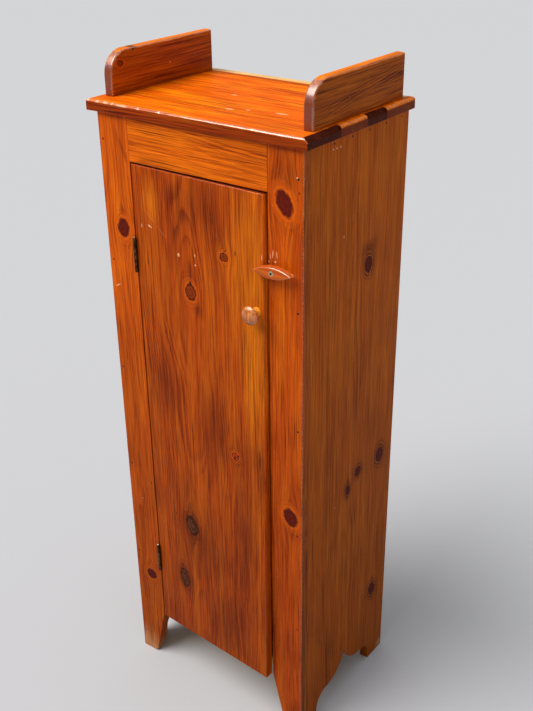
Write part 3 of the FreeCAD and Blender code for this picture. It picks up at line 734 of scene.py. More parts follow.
def fill_in(sockets, **values):
    """Feed sockets by name; a value's name has _ for each space in the socket's."""
    for name, value in values.items():
        feed(sockets[name.replace("_", " ")], value)


def calc(operation, *values, clamp=False):
    """One Math node, fed with numbers or other nodes' values."""
    made = node("Math", operation=operation, use_clamp=clamp)
    for socket, value in zip(made.inputs, values):
        feed(socket, value)
    return Value(made.outputs[0])


class Value:
    """A node's output that can be reckoned with like a number."""

    def __init__(self, socket):
        self.socket = socket

    def __add__(self, other):
        return calc("ADD", self, other)

    def __sub__(self, other):
        return calc("SUBTRACT", self, other)

    def __rsub__(self, other):
        return calc("SUBTRACT", other, self)

    def __mul__(self, other):
        return calc("MULTIPLY", self, other)

    def __truediv__(self, other):
        return calc("DIVIDE", self, other)

    def __pow__(self, other):
        return calc("POWER", self, other)

    __radd__ = __add__
    __rmul__ = __mul__


print("shader sums ready")

# %% [markdown]
# ## Places, clouds, steps and colours
# Four more kinds of node do nearly all the rest. A place is split into its axes or stretched, so
# that a pattern is drawn out along the grain. A cloud is noise on such a place. A soft step turns
# a slow value into a border, and a blend lays one colour over another.

# %% Shader helpers
def split(vector):
    made = node("SeparateXYZ")
    feed(made.inputs[0], vector)
    return [Value(socket) for socket in made.outputs]


def join(x, y, z):
    made = node("CombineXYZ")
    for socket, value in zip(made.inputs, (x, y, z)):
        feed(socket, value)
    return Value(made.outputs[0])


def move(place, operation, by):
    """A place with a vector taken off it (SUBTRACT) or its axes scaled by one (MULTIPLY)."""
    made = node("VectorMath", operation=operation)
    feed(made.inputs[0], place)
    feed(made.inputs[1], by)
    return Value(made.outputs[0])


def noise(place, detail, rough=0.5):
    """Cloudy noise from 0 to 1; the place is already stretched, so its scale stays 1."""
    made = node("TexNoise", noise_dimensions="3D")
    fill_in(made.inputs, Vector=place, Scale=1, Detail=detail, Roughness=rough)
    return Value(made.outputs["Fac"])


def cloud(place, across, along, detail=2, rough=0.5, through=None):
    """Noise with this many waves in a millimetre across, along and through the board."""
    through = across if through is None else through
    return noise(move(place, "MULTIPLY", (across, through, along)), detail, rough)


def step(value, start, end):
    """0 before start and 1 after end, with a soft step between them."""
    made = node("MapRange", interpolation_type="SMOOTHSTEP")
    fill_in(made.inputs, Value=value, From_Min=start, From_Max=end)
    return Value(made.outputs["Result"])


def blend(factor, first, second, mode="MIX"):
    """Lay the second colour over the first."""
    made = node("Mix", data_type="RGBA", blend_type=mode)
    fill_in(made.inputs, Factor=factor, A=first, B=second)
    return Value(made.outputs["Result"])


def tone_by(first, second):
    """Darken one colour by another, as a glaze does."""
    return blend(1.0, first, second, "MULTIPLY")


def colour(red, green, blue):
    """A colour as a paint chart gives it, from 0 to 255, turned into light."""
    def light(part):
        part = part / 255
        return part / 12.92 if part <= 0.04045 else ((part + 0.055) / 1.055) ** 2.4
    return (light(red), light(green), light(blue), 1)


print("shader helpers ready")

# %% [markdown]
# ## Node groups
# What several finishes share, such as grain or a knot, is built once as a node group with named
# sockets and placed in each material with its own values. A change in the group then reaches
# every board.

# %% Group helpers
def values_of(sockets):
    return {socket.name: Value(socket) for socket in sockets}


def shader_group(name, inputs, outputs):
    """A new node group, opened for work. inputs gives each start value: a number, a colour, or
    None for a place. outputs gives each kind. Returns tree, given values and places to feed."""
    tree = bpy.data.node_groups.new(name, "ShaderNodeTree")
    kinds = {type(None): "Vector", tuple: "Color"}
    for label, value in inputs.items():
        made = tree.interface.new_socket(
            name=label, in_out="INPUT",
            socket_type="NodeSocket" + kinds.get(type(value), "Float"))
        if value is not None:
            made.default_value = value
    for label, kind in outputs.items():
        tree.interface.new_socket(name=label, in_out="OUTPUT", socket_type="NodeSocket" + kind)
    work_in(tree)
    start = tree.nodes.new("NodeGroupInput")
    end = tree.nodes.new("NodeGroupOutput")
    return tree, values_of(start.outputs), end.inputs


def use_group(group, **values):
    """Place a group in the open tree, fed by name."""
    made = node("Group", node_tree=group)
    fill_in(made.inputs, **values)
    return values_of(made.outputs)


print("group helpers ready")

# %% [markdown]
# ## The room
# What varnish shows is mostly its surroundings. A room that is bright above and dim near the
# floor gives deep colour on the flat boards and light on the edges that look upwards. A picture
# of a room could do this, but a soft step between two greys is enough.

# %% Room light
NEAR_FLOOR = (0.15, 0.155, 0.16, 1)
OVERHEAD = (0.86, 0.90, 0.96, 1)
room = bpy.data.worlds.new("soft_room")
bpy.context.scene.world = room
room.use_nodes = True
work_in(room.node_tree)
height = split(Value(node("TexCoord").outputs["Generated"]))[2]
fill_in(room.node_tree.nodes["Background"].inputs,
        Color=blend(step(height, 0.38, 1.0), NEAR_FLOOR, OVERHEAD))
print("room nodes:", len(room.node_tree.nodes))

# %% [markdown]
# ## Growth rings
# Each growth ring of a pine is a pale, soft band that ends in a thin dark line. A sawn board cuts
# through the rings, so its lines are close where the cut crosses them squarely and wide where it
# only grazes them. A wave texture would give even stripes. Here the distance from the heart of
# the log is worked out in the board's own space, which gives the right lines on the face, the
# edge and the end of the same board. Slow noise lets the log wander, and the heart leans a
# little, so that the lines close into long arches.

# %% Growth rings
YEARS_WAVES = 0.31
YEARS_SLICE = 3.7


def growth_rings(given):
    """The thin dark lines, sharp, and the same lines as they show, stronger and fainter."""
    place = given["Place"]
    across, through, along = split(place)
    # how far a point is from the heart of the log, in years
    bend_across = cloud(place, 0.008, 0.0022)
    bend_through = cloud(place, 0.011, 0.0031, detail=1, through=0.009)
    aside = (across - given["Heart across"] + along * given["Lean"]
             + (bend_across - 0.5) * given["Wander"])
    deep = through - given["Heart through"] + (bend_through - 0.5) * given["Wander"]
    ring = calc("SQRT", aside ** 2 + deep ** 2) / given["Ring width"]
    # the years differ, and each line shivers a little along the board
    years = noise(join(ring * YEARS_WAVES, YEARS_SLICE, 0), 1)
    shiver = cloud(place, 0.45, 0.025)
    part = calc("FRACT", ring + years * 2.6 + shiver * 0.5)
    line = step(part, 0.3, 0.92) * (1 - step(part, 0.92, 1.0))
    seen = step(cloud(place, 0.028, 0.0035), 0.38, 0.66) + 0.25
    return line, line * seen * (years + 0.35)


print("growth rings ready")

# %% [markdown]
# ## Pine grain
# Between the rings lie long silky fibres and fine dark threads of pores, and the stain soaked in
# unevenly, in slow clouds. Each of these is a cloud drawn out along the grain: the finer it is
# across, the longer it runs. The group hands out the colour, the grey of the grain alone, which
# also tones whatever is laid over the wood, the lines, and a height for the bump.

# %% Pine group
def build_pine_group():
    white = (1, 1, 1, 1)
    tree, given, out = shader_group("pine_grain", {
        "Place": None, "Heart across": 0, "Heart through": 60, "Ring width": 2.6, "Lean": 0.02,
        "Wander": 14, "Early wood": white, "Late wood": white, "Blotch": white, "Amber": white,
        "Line strength": 0.5, "Blotch strength": 0.5, "Amber strength": 0.4,
        "Grain strength": 1.0,
    }, {"Color": "Color", "Grey": "Color", "Lines": "Float", "Height": "Float"})
    place = given["Place"]
    line, faint = growth_rings(given)
    silk = cloud(place, 0.27, 0.006, 5, 0.72)
    fibre = cloud(place, 1.7, 0.03, 2, 0.6)
    streak = cloud(place, 0.085, 0.0024, 3, 0.6)
    thread = cloud(place, 0.40, 0.0055, 3, 0.6)
    pores = cloud(place, 0.55, 0.011)
    patch = cloud(place, 0.017, 0.006, 3, 0.6)
    amber = cloud(place, 0.05, 0.004, 4, 0.65)

    tint = blend(calc("MULTIPLY", faint, given["Line strength"], clamp=True),
                 given["Early wood"], given["Late wood"])
    tint = blend(step(amber, 0.45, 0.64) * given["Amber strength"], tint, given["Amber"])
    soaked = patch * 0.5 + (streak + silk * 0.3) * 0.4
    tint = blend(step(soaked, 0.46, 0.72) * given["Blotch strength"], tint, given["Blotch"])
    grain = (silk * 1.5 - 0.84 + fibre * 0.26 + streak * 0.22
             + step(thread, 0.50, 0.64) * -0.24 + step(pores, 0.53, 0.63) * -0.30)
    shade = calc("MAXIMUM", 0.12, grain * given["Grain strength"] + 1)
    warm = shade ** 1.25
    grey = join(shade, warm, warm)
    fill_in(out, Color=tone_by(tint, grey), Grey=grey, Lines=line,
            Height=line * 0.5 + fibre + silk - pores)
    return tree


PINE = build_pine_group()
print("pine grain:", len(PINE.nodes), "nodes")

# %% [markdown]
# ## Ovals at a place of their own
# Knots and scratches are both ovals, turned a little, somewhere on a board. The distance from an
# oval's middle, counted in its own half widths, is 1 all along its rim, so one sum serves for
# every oval, and noise added to it makes the rim ragged. The oval goes right through the board,
# as an elliptical pillar, so a knot shows on both faces.

# %% Ovals
OVAL = {"Place": None, "Across": 0, "Along": 0, "Half width": 6, "Half length": 9, "Tilt": 0,
        "Ragged": 0.5}


def oval_distance(given):
    """Across and along from the oval's middle, and the distance that is 1 on its rim."""
    across, through, along = split(given["Place"])
    right = across - given["Across"]
    up = along - given["Along"]
    cosine, sine = calc("COSINE", given["Tilt"]), calc("SINE", given["Tilt"])
    short = (right * cosine + up * sine) / given["Half width"]
    long = (up * cosine - right * sine) / given["Half length"]
    return right, up, calc("SQRT", short ** 2 + long ** 2)


print("ovals ready")

# %% [markdown]
# ## Knots
# A knot is a branch that the trunk grew round. The saw cuts it into a dark oval with rings of its
# own, often with a black rim of bark, and the grain of the board flows round it. The group gives
# a mask for each of these zones, and Spread for the rings that fade out into the board. It also
# says how far the grain is pushed aside, which the material takes off the place before it asks
# for the pine.

# %% Knot group
RING_COUNT = 12
RING_START = 3


def build_knot_group():
    zones = ("Push", "Wood", "Rim", "Halo", "Rings", "Spread")
    tree, given, out = shader_group("knot", OVAL, dict.fromkeys(zones, "Float"))
    right, up, far = oval_distance(given)
    # the distance is 1 on the rim, so each zone is a step somewhere round 1
    edge = far + (given["Ragged"] - 0.5) * 0.5
    bark = calc("ABSOLUTE", edge - 0.98)
    rings = calc("SINE", edge * RING_COUNT + RING_START)
    # the grain parts in front of the knot and closes behind it
    wide = right / given["Half width"]
    tall = up / given["Half length"]
    fade = calc("EXPONENT", (wide ** 2 * 0.22 + tall ** 2 * 0.16) * -1)
    bow = wide / calc("SQRT", wide ** 2 + 0.35)
    fill_in(out, Push=bow * fade * given["Half width"], Wood=1 - step(edge, 0.88, 1.04),
            Rim=1 - step(bark, 0.02, 0.21), Halo=1 - step(edge, 0.95, 2.1),
            Rings=rings * 0.5 + 0.5, Spread=1 - step(edge, 1.1, 3.0))
    return tree


KNOT = build_knot_group()
print("knot:", len(KNOT.nodes), "nodes")

# %% [markdown]
# ## Scratches, chips and pitch streaks
# A varnished cabinet that has been moved about carries pale scratches where the stain is gone,
# and pine has dark streaks where pitch ran. Both are short, thin marks at a place of their own.
# A painted picture could hold them, but a small group that draws one oval, long and thin or
# round, sharp or soft, needs no picture and is sharp at any size.

# %% Mark group
def build_mark_group():
    tree, given, out = shader_group("mark", dict(OVAL, Soft=0), {"Mask": "Float"})
    right, up, far = oval_distance(given)
    far = far + (given["Ragged"] - 0.5) * 1.4
    full = 0.6 - given["Soft"] * 0.8
    none = given["Soft"] * 0.25 + 1.15
    fill_in(out, Mask=1 - step(far, full, none))
    return tree


MARK = build_mark_group()
print("mark:", len(MARK.nodes), "nodes")

# %% [markdown]
# ## Handled edges
# Hands, brooms and doorways rub a cabinet at its edges first. The rounded edges get a polish, and
# in bits, not in a line, the stain wears thin and lighter wood shows. On a board the broad faces
# look straight along one axis, so a point belongs to an edge where its normal is slanted. The
# same group scatters the few pale specks that any bump leaves on the faces.

# %% Edge group
def build_edge_group():
    tree, given, out = shader_group("handled_edge", {
        "Place": None, "Normal": None, "Ragged": 0.5,
    }, dict.fromkeys(("Polish", "Rub", "Scuff"), "Float"))
    parts = [calc("ABSOLUTE", part) for part in split(given["Normal"])]
    squarest = calc("MAXIMUM", calc("MAXIMUM", parts[0], parts[1]), parts[2])
    slanted = 1 - step(squarest, 0.90, FLAT_ENOUGH)
    ticks = cloud(given["Place"], 0.62, 0.2, detail=1)
    fill_in(out, Polish=slanted, Rub=slanted * step(given["Ragged"], 0.52, 0.66),
            Scuff=step(ticks, 0.735, 0.79))
    return tree


EDGE = build_edge_group()
print("handled edge:", len(EDGE.nodes), "nodes")

# %% [markdown]
# ## Materials and who wears them
# A material is one shader whose sockets are fed by the nodes before it. A piece modelled here has
# no material slot yet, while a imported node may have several, so dressing a piece fills them all.

# %% Material helpers
def start_finish(name):
    """A new material with its node tree opened for work, and its shader's sockets."""
    material = bpy.data.materials.new(name)
    material.use_nodes = True
    work_in(material.node_tree)
    return material, material.node_tree.nodes["Principled BSDF"].inputs


def dress(piece, material):
    """Give a piece one material in every slot."""
    if not piece.material_slots:
        piece.data.materials.append(material)
    for place in piece.material_slots:
        place.material = material


print("material helpers ready")

# %% [markdown]
# ## A chart of wood tones
# A finisher keeps a chart of the tones on a piece. There are two here: one for stained and
# varnished pine, and one for the bare pine that nobody stained. They share the tones' names, so
# one recipe can use either. Two short lists say how each kind of mark and of knot is drawn.

# %% Paint charts
STAIN = {
    "early": colour(208, 92, 8), "late": colour(130, 38, 6),
    "blotch": colour(104, 28, 7), "amber": colour(230, 116, 10),
    "knot": colour(98, 24, 12), "rim": colour(40, 12, 8), "halo": colour(232, 98, 10),
    "pale": colour(246, 192, 140), "pitch": colour(34, 18, 12), "end": colour(118, 42, 16),
    "shade": colour(84, 22, 7), "glow": colour(236, 120, 12), "dark_stretch": colour(74, 27, 12),
    "dust": colour(238, 172, 118), "chip": colour(246, 196, 150), "bright": colour(255, 128, 14),
    "tan": colour(188, 88, 12), "scratch": colour(226, 140, 90),
}
BARE = {
    "early": colour(226, 184, 128), "late": colour(186, 128, 74),
    "blotch": colour(172, 120, 72), "amber": colour(232, 178, 104),
    "knot": colour(104, 62, 40), "rim": colour(74, 44, 30), "halo": colour(206, 148, 90),
    "pale": colour(240, 214, 170), "pitch": colour(60, 40, 28), "end": colour(150, 100, 60),
    "shade": colour(206, 156, 100), "glow": colour(230, 184, 118), "tan": colour(220, 176, 118),
    "dust": colour(200, 170, 130), "chip": colour(240, 214, 170),
    "scratch": colour(236, 206, 160),
}
# how strongly each kind of mark covers the wood, and how soft its border is
MARK_KINDS = {"pale": (0.8, 0), "chip": (0.8, 0), "pitch": (0.85, 0.3), "shade": (0.55, 1),
              "glow": (0.42, 1), "dust": (0.75, 1), "tan": (0.6, 1), "scratch": (0.55, 0)}
# for each kind of knot: the tone of its halo, how strong halo and rim are, and how strong the
# rings are that spread round it
KNOT_KINDS = {"red": ("halo", 0.8, 0.5, 0.22), "ringed": ("halo", 0.7, 1.0, 0.35),
              "grey": ("shade", 0.4, 0.85, 0.35), "eye": ("halo", 0.4, 0.8, 1.0),
              "starry": ("halo", 0.9, 0.9, 0.7)}
print(len(STAIN), "stained and", len(BARE), "bare tones")

# %% [markdown]
# ## A board's own space
# Patterns read Object coordinates, so they stay on the wood when the door swings. They are turned
# into the maker's millimetres and put in the order across the grain, through the board, along the
# grain. Then one recipe suits an upright stile and a lying shelf.

# %% A board's own space
def surface(kind):
    """The Object coordinates or the Normal of the point that is shaded."""
    return Value(node("TexCoord").outputs[kind])


def board_place(*axes):
    """The board's own millimetres: across the grain, through its thickness, along the grain."""
    made = node("Mapping")
    fill_in(made.inputs, Vector=surface("Object"), Location=(-LEFT / MM, -FRONT / MM, 0),
            Scale=(1 / MM, 1 / MM, 1 / MM))
    parts = split(Value(made.outputs[0]))
    return join(*(parts[AXES[axis]] for axis in axes))


def inside(place, low, high, soft=0.8):
    """1 in a box of the board's own space, fading out over soft millimetres round it."""
    masks = [step(part, start - soft, start) * (1 - step(part, end, end + soft))
             for part, start, end in zip(split(place), low, high)]
    return masks[0] * masks[1] * masks[2]


def facing(axis, sign):
    """1 on the faces that look straight along one axis, up it (1) or down it (-1)."""
    return step(split(surface("Normal"))[AXES[axis]] * sign, 0.85, 0.95)


print("board space ready")

# %% [markdown]
# ## Knots on a board
# No two knots are alike: some are plain red wood, some are ringed, and some have a grey or a
# starry heart. All are laid over the pine in the same order: a halo, the rings that spread round
# it, the knot's own wood with darker mottles, and last the bark, which is broken on some kinds.

# %% Knot colours
def set_knots(place, knots, border):
    """The knot group's values for each knot, and the place with its grain pushed aside."""
    zones = [use_group(KNOT, Place=place, Across=across, Along=along, Half_width=width,
                       Half_length=length, Tilt=math.radians(tilt), Ragged=border)
             for across, along, width, length, tilt, kind in knots]
    if not zones:
        return zones, place
    push = sum(zone["Push"] for zone in zones)
    return zones, move(place, "SUBTRACT", join(push, 0, 0))


def knot_wood(kind, rings, mottled, tones):
    """The wood inside a knot of one kind."""
    if kind in ("red", "eye"):
        return blend(rings * 0.3, tones["knot"], tones["late"])
    if kind == "starry":
        return blend(mottled, colour(202, 66, 14), tones["rim"])
    if kind == "grey":
        heart = (1 - rings * 0.35) * (1 - mottled)
        return blend(heart, colour(50, 24, 14), colour(116, 58, 28))
    return blend(rings * 0.3 + 0.4, tones["early"], tones["blotch"])


def lay_knots(tint, place, zones, kinds, tones):
    """Lay each knot over the wood. zones holds the knot group's values for each of them."""
    broken = step(cloud(place, 0.7, 0.7, detail=1), 0.36, 0.55) * 0.6 + 0.4
    mottled = step(cloud(place, 0.3, 0.16, 3, 0.6), 0.46, 0.66)
    for zone, kind in zip(zones, kinds):
        halo_tone, halo, rim, spread = KNOT_KINDS[kind]
        tint = blend(zone["Halo"] * halo, tint, tones[halo_tone])
        tint = blend(zone["Rings"] * zone["Spread"] * spread, tint, tones["blotch"])
        wood = knot_wood(kind, zone["Rings"], mottled, tones)
        wood = blend(mottled * 0.35, wood, tones["rim"])
        tint = blend(zone["Wood"], tint, wood)
        bark = zone["Rim"] * rim
        if kind in ("ringed", "grey", "starry"):
            bark = bark * broken
        tint = blend(bark, tint, tones["rim"])
    return tint


print("knot colours ready")

# %% [markdown]
# ## Marks and areas on a board
# Marks are laid in the order of a list, each as one oval with the tone of its kind. Soft ones are
# stain in the wood, so the grain goes on through them. Chips only show on the rounded edges. An
# area is a box on the board with a tone of its own: brighter, which on the top and the gallery
# ends is painted light, or darkened, with its varnish taken away.

# %% Mark and area colours
AREA_SOFT = 2
GLEAM = 0.35


def lay_marks(tint, marks, place, border, handled, pine, tones):
    for across, along, width, length, tilt, kind in marks:
        cover, soft = MARK_KINDS[kind]
        mask = use_group(MARK, Place=place, Across=across, Along=along, Half_width=width,
                         Half_length=length, Tilt=math.radians(tilt), Ragged=border,
                         Soft=soft)["Mask"]
        if kind == "chip":
            mask = mask * handled["Polish"]
        tone = tone_by(tones[kind], pine["Grey"]) if soft == 1 else tones[kind]
        tint = blend(mask * cover, tint, tone)
    return tint


def lay_areas(tint, varnish, areas, place, pine, tones):
    """Colour the boxes of a board; a "gleam" only adds varnish, and "grime" takes it away."""
    for low, high, tone in areas:
        cover = inside(place, low, high, AREA_SOFT)
        if tone == "gleam":
            varnish = calc("MAXIMUM", varnish, cover * GLEAM)
            continue
        tint = blend(cover, tint, tone_by(tones[tone], pine["Grey"]))
        if tone == "dark_stretch":
            varnish = varnish * (1 - cover)
    return tint, varnish


print("mark and area colours ready")

# %% [markdown]
# ## One finish for every board
# Every board is the same stained and varnished pine, but no two look alike: each has its own
# heart, knots and scars. A material could be copied and changed for each, but then a change to
# the varnish means ten changes. So one function builds a board's material from a short list of
# what is on that board. The pine shows through a coat of varnish, thin on the faces and full on
# the handled edges. Boards inside the case were never stained, and the same function gives them
# bare wood and no varnish.

# %% Board material
VARNISH_IOR = 2.0
BUMP_STRENGTH = 0.22
BUMP_DEPTH = 0.3 * MM
SHADE_REACH = 1200


def board_finish(name, axes, heart, ring=2.6, lean=0.02, wander=14, lines=0.5, blotches=0.5,
                 ambers=0.4, grain=1.0, knots=(), marks=(), areas=(), paint=None, raw_face=None,
                 raw_box=None, face_tint_and_light=None, low_shade=0.0, end_grain=0.85, rub=0.3, scuffs=0.35,
                 gloss=0.36, specular=0.03, coat=0.02, polish=1.0, coat_rough=0.12):
    """A board's material. axes is across, through, along; heart is across and through. A knot
    or mark is (across, along, half width, half length, tilt, kind), and an area is (low, high,
    tone). paint changes tones of the chart. raw_face (axis, sign) and raw_box (low, high) say
    where the wood was never stained. face_tint_and_light (axis, sign, tint) tones one face; a tint
    above 1 lightens it, which is painted light. low_shade darkens the wood towards the floor,
    which is painted shade. coat and polish are the varnish on faces and edges."""
    material, shader = start_finish(name)
    tones = dict(STAIN, **(paint or {}))
    place = board_place(*axes)
    normal = surface("Normal")
    if raw_face or raw_box:
        raw = facing(*raw_face) if raw_face else inside(place, *raw_box)
        for tone, bare_tone in BARE.items():
            tones[tone] = blend(raw, tones[tone], bare_tone)
    ragged = cloud(place, 0.4, 0.4, rough=0.6)
    lumpy = cloud(place, 0.1, 0.1, 3, 0.6) * 1.45 + (ragged * 0.25 - 0.35)
    zones, bent = set_knots(place, knots, lumpy)
    pine = use_group(PINE, Place=bent, Heart_across=heart[0], Heart_through=heart[1],
                     Ring_width=ring, Lean=lean, Wander=wander, Early_wood=tones["early"],
                     Late_wood=tones["late"], Blotch=tones["blotch"], Amber=tones["amber"],
                     Line_strength=lines, Blotch_strength=blotches, Amber_strength=ambers,
                     Grain_strength=grain)
    handled = use_group(EDGE, Place=place, Normal=normal, Ragged=ragged)

    # what lies in the wood, then what lies on it
    soft = [mark for mark in marks if MARK_KINDS[mark[-1]][1] == 1]
    sharp = [mark for mark in marks if mark not in soft]
    cloudy = cloud(bent, 0.12, 0.014, 3, 0.6) if soft else ragged
    tint = lay_marks(pine["Color"], soft, place, cloudy, handled, pine, tones)
    if zones:
        tint = lay_knots(tint, place, zones, [knot[-1] for knot in knots], tones)
    tint = lay_marks(tint, sharp, place, ragged, handled, pine, tones)
    tint = blend(handled["Rub"] * rub, tint, tones["pale"])
    tint = blend(handled["Scuff"] * scuffs, tint, tones["pale"])
    # one face toned; a tint above 1 lightens it, which is painted light
    if face_tint_and_light:
        axis, sign, shade = face_tint_and_light
        tint = blend(facing(axis, sign), tint, tone_by(tint, (*shade, 1)))
    ends = step(calc("ABSOLUTE", split(normal)[AXES[axes[2]]]), 0.78, 0.97)
    tint = blend(ends * end_grain, tint, tones["end"])
    varnish = handled["Polish"] * (polish - coat) + coat
    tint, varnish = lay_areas(tint, varnish, areas, place, pine, tones)
    # painted shade: the wood is darkened towards the floor, where less light reaches it
    if low_shade:
        level = split(place)[axes.index("Z")]
        dimmed = 1 - (1 - step(level, 0, SHADE_REACH)) * low_shade
        tint = tone_by(tint, join(dimmed, dimmed, dimmed))

    bump = node("Bump")
    fill_in(bump.inputs, Strength=BUMP_STRENGTH, Distance=BUMP_DEPTH, Height=pine["Height"])
    fill_in(shader, Base_Color=tint, Roughness=pine["Lines"] * 0.06 + gloss + ragged * 0.08,
            Specular_IOR_Level=specular, Coat_Roughness=coat_rough, Coat_IOR=VARNISH_IOR,
            Normal=Value(bump.outputs["Normal"]))
    if polish > coat:
        fill_in(shader, Coat_Weight=varnish)
    return material


print("board finish ready")

# %% [markdown]
# ## The boards of the front
# Stiles and door stand upright, so their grain does too, and the rail's runs sideways. Each board
# was cut from another part of the log, which its heart says. The front is lit evenly and handled
# little on its broad faces, so its varnish is thin there. The backs of these boards are raw.

# %% The stiles and the rail
UPRIGHT = ("X", "Y", "Z")
SIDEWAYS = ("Z", "Y", "X")
BACK_RAW = ("Y", 1)
STILE_SIDE_TINT = (0.8, 1.15, 1)

dress(left_stile, board_finish(
    "left_stile_varnished_pine", UPRIGHT, heart=(20, 150), lines=0.55, blotches=0.35, grain=1.3,
    knots=[(40.8, 978.3, 13, 17, 0, "red"), (39.8, 215.4, 13, 12, 0, "red")],
    marks=[(14.8, 864.5, 1.2, 7, -60, "pale"), (56.1, 391.3, 1.3, 1.6, 0, "pitch"),
           (31.6, 404.2, 1.2, 1.6, 0, "pale"), (58.9, 451.6, 1.6, 3, 0, "pitch"),
           # the second shade mark here is a painted shadow, a dark band right under the top's
           # overhang
           (52, 1120, 5, 34, 24, "shade"), (33, 1173, 38, 5, 0, "shade"),
           # the tan mark darkens the middle of the stile: painted shade, like the darkening
           # towards the floor
           (30, 620, 44, 260, 0, "tan"), (30, 1010, 12, 60, 0, "glow"),
           (14, 16, 34, 40, 0, "dust"), (30, 4, 20, 14, 0, "dust")],
    low_shade=0.5, polish=0.4, raw_face=BACK_RAW, face_tint_and_light=("X", -1, STILE_SIDE_TINT),
    paint={"early": colour(202, 84, 8), "amber": colour(224, 112, 10),
           "tan": colour(170, 67, 9)}))
dress(right_stile, board_finish(
    "right_stile_varnished_pine", UPRIGHT, heart=(420, 190), lines=0.6, blotches=0.4, grain=1.35,
    knots=[(384.6, 1088.6, 14, 21.5, 24, "red"), (395.4, 513.8, 14, 18, 28, "red")],
    marks=[(408.3, 1132.1, 1.5, 2, 0, "pale"), (411.9, 1109.2, 1.6, 2, 0, "pitch"),
           (357.2, 997.4, 0.7, 5, 8, "pale"), (362.1, 1002.6, 0.9, 7, -4, "pale"),
           (369.8, 1001.9, 0.8, 6, 5, "pale"), (366.8, 990.4, 2.2, 2, 40, "pale"),
           (354.1, 988.5, 1.2, 2, 0, "pale"), (376, 880, 14, 120, 0, "glow"),
           (386, 340, 60, 240, 0, "tan"), (390, 1116, 9, 7, 60, "shade"),
           (397, 1060, 6, 20, 20, "shade"), (385, 1140, 34, 40, 0, "shade"),
           # the last shade mark is a painted shadow, a dark band right under the top's overhang
           (388, 1173, 38, 5, 0, "shade")],
    low_shade=0.38, polish=0.4, raw_face=BACK_RAW, face_tint_and_light=("X", 1, STILE_SIDE_TINT),
    paint={"early": colour(186, 73, 8), "amber": colour(212, 102, 10),
           "tan": colour(170, 62, 10)}))
dress(rail, board_finish(
    "rail_varnished_pine", SIDEWAYS, heart=(1110, 120), ring=3.2, lean=0.06, lines=0.75,
    # its shade mark is a painted shadow along its upper edge, under the top's overhang
    blotches=0.35, grain=1.4, marks=[(1173, 210, 5, 170, 0, "shade")], raw_face=BACK_RAW,
    paint={"early": colour(216, 97, 8)}))
print("stiles and rail dressed")

# %% [markdown]
# ## The door's finish
# The door is the widest board and was cut near the heart, so its lines open into long arches. It
# has five knots with dark clouds of stain round them, an amber band along the latch edge, and a
# few scratches near the top. Most of its marks are laid here.

# %% The door's finish
dress(door, board_finish(
    "door_varnished_pine", UPRIGHT, heart=(200, 120), ring=3.0, lean=0.03, wander=26,
    lines=0.7, blotches=0.5, ambers=0.35, grain=1.25, scuffs=0.15,
    knots=[(191.3, 895.5, 11.2, 15, 10, "ringed"), (267.2, 977, 8.5, 7.5, 0, "ringed"),
           (281.7, 603.2, 8, 8, 0, "starry"), (165.8, 397.4, 15, 21, 14, "grey"),
           (137.8, 256, 12, 21, 8, "grey")],
    marks=[(192.5, 934, 5, 26, 0, "shade"), (206, 868, 11, 20, 30, "shade"),
           (192.3, 926, 0.8, 20, 0, "pitch"), (191, 912, 3.5, 4, 30, "pitch"),
           (266.5, 992, 0.7, 11, 4, "pitch"), (270, 988, 1.6, 3, -30, "pitch"),
           (230, 1050, 60, 60, 0, "shade"), (262, 1005, 5, 22, 0, "shade"),
           (324, 930, 42, 190, 0, "glow"), (326, 760, 26, 150, 0, "glow"),
           (110, 1040, 22, 40, 0, "glow"), (112, 700, 42, 80, 0, "shade"),
           (230, 640, 36, 110, 0, "shade"), (190, 360, 70, 70, 0, "shade"),
           (250, 200, 60, 90, 0, "shade"), (300, 420, 30, 200, 0, "shade"),
           (275.5, 606, 2.2, 2, 0, "pitch"), (288.4, 605.5, 2.6, 2.2, 20, "pitch"),
           (283, 594.5, 2.4, 1.8, 0, "pitch"), (95, 933.3, 1.2, 17, 0, "pitch"),
           (291.1, 988.2, 1.5, 5, 0, "pitch"), (337.9, 616.2, 1.6, 22, 0, "pitch"),
           (123.8, 408.5, 1.4, 4, 0, "pitch"), (104.5, 994.6, 1.6, 5, 70, "pale"),
           (106, 1012, 0.6, 16, 48, "scratch"), (130, 991, 0.5, 15, 48, "scratch"),
           (85.2, 992.1, 0.9, 4, 0, "pale"), (167.5, 957.6, 2.2, 4, 0, "pale"),
           (204.1, 964.5, 1.3, 2.5, 20, "pale"), (204.9, 948.2, 1.8, 1.8, 0, "pale"),
           (345.2, 995.1, 0.8, 5, 0, "pale")],
    # the latch edge face is lightened: painted light where the lamp leaves it dark
    low_shade=0.4, raw_face=BACK_RAW, rub=0.1, polish=0.08, face_tint_and_light=("X", 1, (1.7, 1.9, 1)),
    paint={"early": colour(178, 71, 8), "blotch": colour(84, 22, 7),
           "amber": colour(208, 104, 12), "late": colour(110, 30, 8),
           "glow": colour(240, 132, 14)}))
print("door dressed")

# %% [markdown]
# ## The sides
# The sides get less sun and are browner than the front. Their knots are eyes: dark hearts with
# close rings round them. A side lies square to the front, so across its grain now means from
# front to back.

# %% The sides' finish
SIDE_AXES = ("Y", "X", "Z")
SIDE_LOOK = dict(ring=3.0, lines=0.5, blotches=0.4, specular=0.02, scuffs=0.25, paint={
    "early": colour(186, 87, 8), "amber": colour(200, 108, 10), "late": colour(104, 38, 6),
    "blotch": colour(92, 34, 7), "halo": colour(188, 84, 9), "shade": colour(66, 24, 7)})

